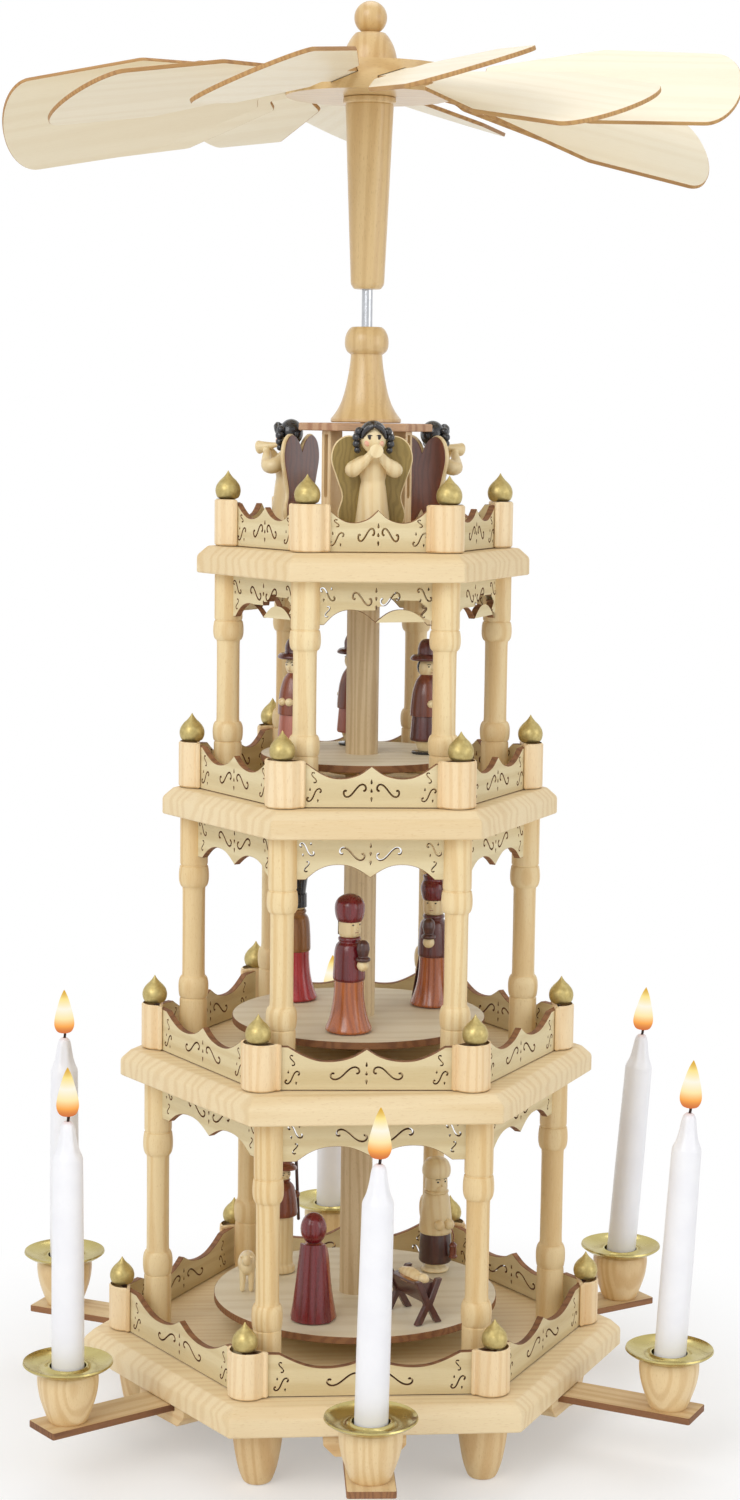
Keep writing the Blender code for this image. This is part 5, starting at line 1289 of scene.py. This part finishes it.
def lamb(floor):
    """A small pale lamb: a round trunk, four legs, a neck, a head and two ears."""
    trunk = ball(mm((0, 0, 8.7)), mm((7.4, 3.9, 3.9)), 28)
    head = ball(mm((6.9, 0, 11.4)), mm((2.3, 1.7, 1.9)))
    neck = swept(mm([(4.6, 0, 9.6), (5.8, 0, 10.6), (6.6, 0, 11.2)]), mm((2.4, 2.0, 1.6)), 14,
                 (0, 1, 0))
    ears = [ball(mm((6.2, side * 1.7, 12.2)), mm((0.6, 1.0, 0.5)), 12) for side in (-1, 1)]
    legs = [swept(mm([(along, across, 8.0), (along * 1.04, across, 1.0)]), mm((1.35, 1.0)), 12,
                  (0, 1, 0)) for along in (-4.1, 4.1) for across in (-1.8, 1.8)]
    stand = standing(LAMB_PLACE, floor, stretch=LAMB_STRETCH)
    figure_pieces("figure_lamb", "carousel", stand,
                  [("body", "cream", [trunk, neck, head, *ears, *legs])])


def manger(floor):
    """A trough between crossed ends, and a swaddled child on it."""
    stand = turn(90) @ turn(90, "X")
    right = mm([(3.6, 0), (7.0, 0), (2.0, 8.6), (7.0, 20.0), (3.8, 20.0)])
    cross = np.vstack([mm([(0, 6.4)]), right, mm([(0, 11.2)]), right[::-1] * (-1, 1)])
    outline = softened(cross, 0.5 * MM, 2, cyclic=True)
    parts = [plate(outline, 2.4 * MM).at(shift(side * 12.2 * MM, 0, 0) @ stand) for side in (-1, 1)]
    trough = softened(mm([(-5.6, 18.2), (-0.8, 8.6), (0.8, 8.6), (5.6, 18.2)]), 0.8 * MM, 3,
                      cyclic=True)
    parts.append(plate(trough, 22.6 * MM).at(stand))
    child = swept(mm([(-8.0, 0, 18.4), (-2.0, 0, 18.9), (4.5, 0, 18.5)]),
                  mm((2.3, 3.2, 2.8)), 20)
    head = ball(mm((8.4, 0, 19.2)), 2.6 * MM)
    straw = ball(mm((0, 0, 17.4)), mm((10.2, 5.4, 1.6)), 24)
    groups = [("wood", "dark", parts), ("child", "cream", [child, head]), ("straw", "tan", [straw])]
    figure_pieces("manger", "carousel", standing(MANGER_PLACE, floor, MANGER_FACING), groups)


def shepherds(floor):
    """The three shepherds of the top turntable: hat, coat, robe and a wedge-shaped foot."""
    for index, place in enumerate(SHEPHERD_PLACES):
        base = lathe([(3.0, 0), (6.4, 0), (6.6, 1.2), (3.4, 1.6)])
        foot = lathe([(2.4, 1.2), (3.6, 1.4), (5.4, 7.0), (4.0, 7.2)])
        robe = lathe([(3.0, 6.2), (7.0, 6.2), (7.3, 7.2), (6.4, 19.0), (3.0, 19.2)])
        coat = smooth_lathe([(3.0, 17.6), (6.8, 17.8), (7.3, 18.8), (7.1, 23.0), (6.4, 29.0),
                             (5.0, 34.0), (3.4, 36.6), (2.8, 37.4)])
        head = ball(mm((0, 0, 40.6)), mm((4.1, 4.1, 4.7)))
        hat = smooth_lathe([(0, 44.4), (4.2, 43.8), (7.0, 44.0), (7.6, 45.0), (6.4, 46.4),
                            (4.4, 46.9), (4.3, 49.4), (3.4, 52.2), (1.8, 53.7), (0, 54.0)])
        hair = ball(mm((0, 1.2, 40.8)), mm((4.15, 3.4, 4.4)))
        nose, *face = calm_face(4.15 * MM, 36.6 * MM, 45.8 * MM)
        stand = standing(place, floor - SEAT_GAP, SHEPHERD_FACINGS[index], SHEPHERD_STRETCH)
        groups = [("base", "hair", [base]), ("foot", "cream", [foot, head, nose]),
                  ("robe", "rose" if index else "plum", [robe]), ("coat", "brown", [coat]),
                  ("hat", "plum", [hat]), ("hair", "hair", [hair]), face[0],
                  ("hands", "cream", hand_pair(6.6, 24.0, 1.8, 1.9)), face[1]]
        figure_pieces("turntable_3", "carousel", stand, groups, "_shepherd_%d" % (index + 1))


def angel(name, azimuth):
    """An angel in a long dress who blows a horn, with a gilt heart of wings behind."""
    dress = smooth_lathe([(8.6, 0), (9.0, 0.6), (8.8, 3.0), (8.1, 8.0), (7.2, 15.0), (6.3, 22.0),
                          (5.7, 27.0), (5.3, 29.2), (5.3, 30.4), (5.8, 32.4), (6.2, 35.6),
                          (5.6, 38.6), (4.2, 40.8), (2.6, 42.0)])
    head = ball(mm((0, 0, 48.0)), mm((5.6, 5.4, 6.2)), 30)
    parts = [dress, head]
    for side in (-1, 1):
        arm = flowing(mm([(side * 4.4, 0.4, 38.0), (side * 8.6, -2.4, 35.2),
                          (side * 8.8, -5.4, 35.0), (side * 5.4, -8.0, 37.6),
                          (side * 2.4, -9.4, 41.0)]), 4)
        parts.append(swept(arm, np.interp(np.linspace(0, 1, len(arm)), (0, 0.25, 0.5, 0.8, 1),
                                          np.array((3.0, 3.5, 3.2, 2.2, 1.7)) * MM), 16))
        parts.append(ball(mm((side * 1.9, -10.0, 41.8)), 1.7 * MM, 18))
    horn = lathe([(0, 0), (0.9, 0), (1.2, 2.0), (1.8, 5.0), (2.6, 8.4), (3.1, 10.0), (2.8, 10.6),
                  (0, 10.9)], 28)
    parts.append(horn.at(shift(0, -4.8 * MM, 44.4 * MM) @ turn(98, "X")))
    hair = [ball(mm((0, 1.5, 49.9)), mm((6.0, 5.3, 6.1)), 30)]
    for side in (-1, 1):
        hair += [ball(mm((side * across, -0.6, up)), size * MM, 18)
                 for across, up, size in ((6.2, 51.2, 1.9), (7.2, 48.6, 2.0), (7.3, 45.8, 1.8),
                                          (6.9, 43.2, 1.5))]
        fringe = [on_head(5.3 * MM, side * angle, up * MM)
                  for angle, up in ((6, 53.6), (26, 52.6), (46, 51.0), (62, 49.0))]
        hair.append(swept(fringe, mm((1.0, 1.3, 1.3, 1.1)), 10))
    ink = calm_face(5.35 * MM, 41.8 * MM, 54.4 * MM)[1][-1]
    for side in (-1, 1):
        pupil = ball((0, 0, 0), mm((0.75, 0.4, 0.95)), 16)
        ink.append(pupil.at(shift(*on_head(5.35 * MM, side * 24, 48.9 * MM)) @ turn(side * 24)))
    cheeks = [ball(on_head(4.5 * MM, side * 38, 46.2 * MM), mm((1.5, 1.2, 1.5)), 16)
              for side in (-1, 1)]
    shares = np.array([(0.0, 0.80), (0.10, 0.93), (0.28, 1.0), (0.44, 0.92), (0.495, 0.74),
                       (0.42, 0.52), (0.36, 0.34), (0.41, 0.16), (0.36, 0.03), (0.20, 0.0),
                       (0.06, 0.10), (0.0, 0.16)])
    half = flowing(shares * WINGS_SIZE, 4)
    outline = np.vstack([half, half[-2:0:-1] * (-1, 1)])
    wings = plate(outline, 2.0 * MM, burn=0.5 * MM)
    wings.at(shift(0, 5.94 * MM, WINGS_LIFT) @ turn(90, "X"))
    backing = plate(outline * 0.97 + (0, 0.6 * MM), 0.3 * MM, burn=0.05 * MM)
    backing.at(shift(0, 7.1 * MM, WINGS_LIFT) @ turn(90, "X"))
    place = standing((azimuth, ANGEL_CIRCLE), FLOORS[3])
    node_name = "angel_" + name
    figure_pieces(node_name, "stand", place,
                  [("body", "cream", parts), ("hair", "hair", hair), ("features", "ink", ink),
                   ("cheeks", "blush", cheeks), ("wing_backs", "brown", [backing])])
    new_piece(node_name + "_wings", [wings.at(place)], "wing", node_name, "stand", edge="cream")


# Floor, light and camera
def white_where_seen(tree, shader_output, strength):
    """Blend a shader into plain white for rays that the camera, glossy or clear surfaces send."""
    rays = node(tree, "ShaderNodeLightPath").outputs
    seen = maths(tree, "MAXIMUM", rays["Is Camera Ray"], rays["Is Glossy Ray"])
    seen = maths(tree, "MAXIMUM", seen, rays["Is Transmission Ray"])
    white = node(tree, "ShaderNodeEmission")
    blend = node(tree, "ShaderNodeMixShader")
    feed(tree, blend.inputs[0], maths(tree, "MULTIPLY", seen, strength))
    feed(tree, blend.inputs[1], shader_output)
    feed(tree, blend.inputs[2], white.outputs[0])
    return blend.outputs[0]


def floor_stage():
    """A round pale floor that takes the shadow, and fades into the white around it."""
    angles = np.linspace(0, math.tau, FINE_ROUND, endpoint=False)
    rim = level(np.stack([np.cos(angles), np.sin(angles)], axis=-1) * FLOOR_RADIUS, 0)
    mesh = bpy.data.meshes.new("floor")
    mesh.from_pydata(rim.tolist(), [], [list(range(FINE_ROUND))])
    made, tree, shader = new_material("pale_floor")
    shader.inputs["Base Color"].default_value = srgb(250, 250, 250)
    shader.inputs["Roughness"].default_value = 0.9
    shader.inputs["Specular IOR Level"].default_value = 0.0
    place = node(tree, "ShaderNodeTexCoord").outputs["Object"]
    length = node(tree, "ShaderNodeVectorMath", operation="LENGTH")
    feed(tree, length.inputs[0], place)
    fade = spread(tree, length.outputs["Value"], *FLOOR_FADE, 0.35, 1.0)
    out = tree.nodes["Material Output"]
    feed(tree, out.inputs["Surface"], white_where_seen(tree, shader.outputs[0], fade))
    mesh.materials.append(made)
    floor = bpy.data.objects.new("floor", mesh)
    bpy.context.scene.collection.objects.link(floor)


def lamp(name, place, energy, size):
    """A square soft lamp that looks at the middle of the object."""
    light = bpy.data.lights.new(name, "AREA")
    light.energy = energy
    light.size = size
    item = bpy.data.objects.new(name, light)
    item.location = place
    look = Vector((0, 0, 0.32)) - Vector(place)
    item.rotation_euler = look.to_track_quat("-Z", "Y").to_euler()
    bpy.context.scene.collection.objects.link(item)


def studio():
    """Even white surroundings and three large soft lamps, and a white backdrop where it is seen."""
    world = bpy.data.worlds.new("studio")
    bpy.context.scene.world = world
    world.use_nodes = True
    tree = world.node_tree
    around = tree.nodes["Background"]
    around.inputs["Color"].default_value = (1, 1, 1, 1)
    around.inputs["Strength"].default_value = SURROUNDINGS
    feed(tree, tree.nodes["World Output"].inputs["Surface"],
         white_where_seen(tree, around.outputs[0], 1.0))
    for name, (place, energy, size) in LAMPS.items():
        lamp(name, place, energy, size)


def camera():
    """The camera where the photograph's was: place, yaw, pitch and roll, and the lens."""
    yaw, pitch, roll = CAMERA_TURNS
    back = np.array([math.sin(yaw) * math.cos(pitch), -math.cos(yaw) * math.cos(pitch),
                     math.sin(pitch)])
    right = np.array([math.cos(yaw), math.sin(yaw), 0])
    up = np.cross(back, right)
    rolled_right = math.cos(roll) * right + math.sin(roll) * up
    rolled_up = math.cos(roll) * up - math.sin(roll) * right
    view = bpy.data.cameras.new("camera")
    view.lens = CAMERA_LENS
    view.sensor_width = 36
    view.clip_start = 0.01
    item = bpy.data.objects.new("camera", view)
    matrix = np.eye(4)
    matrix[:3] = np.column_stack([rolled_right, rolled_up, back, CAMERA_PLACE])
    item.matrix_world = Matrix(matrix.tolist())
    bpy.context.scene.collection.objects.link(item)
    bpy.context.scene.camera = item


camera()
base_piece()
for tier in (1, 2, 3):
    deck_piece(tier)
for index in range(4):
    railing_pieces(index)
for tier in range(3):
    arcade_pieces(tier)
for name, azimuth in ARM_AZIMUTHS.items():
    arm_pieces(name, azimuth)
    candle_pieces(name, azimuth)
roof_pieces()
for name, azimuth in ANGEL_PLACES.items():
    angel(name, azimuth)
for tier in range(3):
    turntable_pieces(tier)
rod_piece()
rotor_pieces()
woman(TURNTABLE_TOPS[0])
bearded_man(TURNTABLE_TOPS[0])
herdsman(TURNTABLE_TOPS[0])
manger(TURNTABLE_TOPS[0])
lamb(TURNTABLE_TOPS[0])
for index in range(3):
    king(index, TURNTABLE_TOPS[1])
shepherds(TURNTABLE_TOPS[2])
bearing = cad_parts["bearing_cup"]
bearing.data.materials.clear()
bearing.data.materials.append(FINISHES["brass"][0])
floor_stage()
studio()
bpy.context.scene.view_settings.view_transform = "Standard"
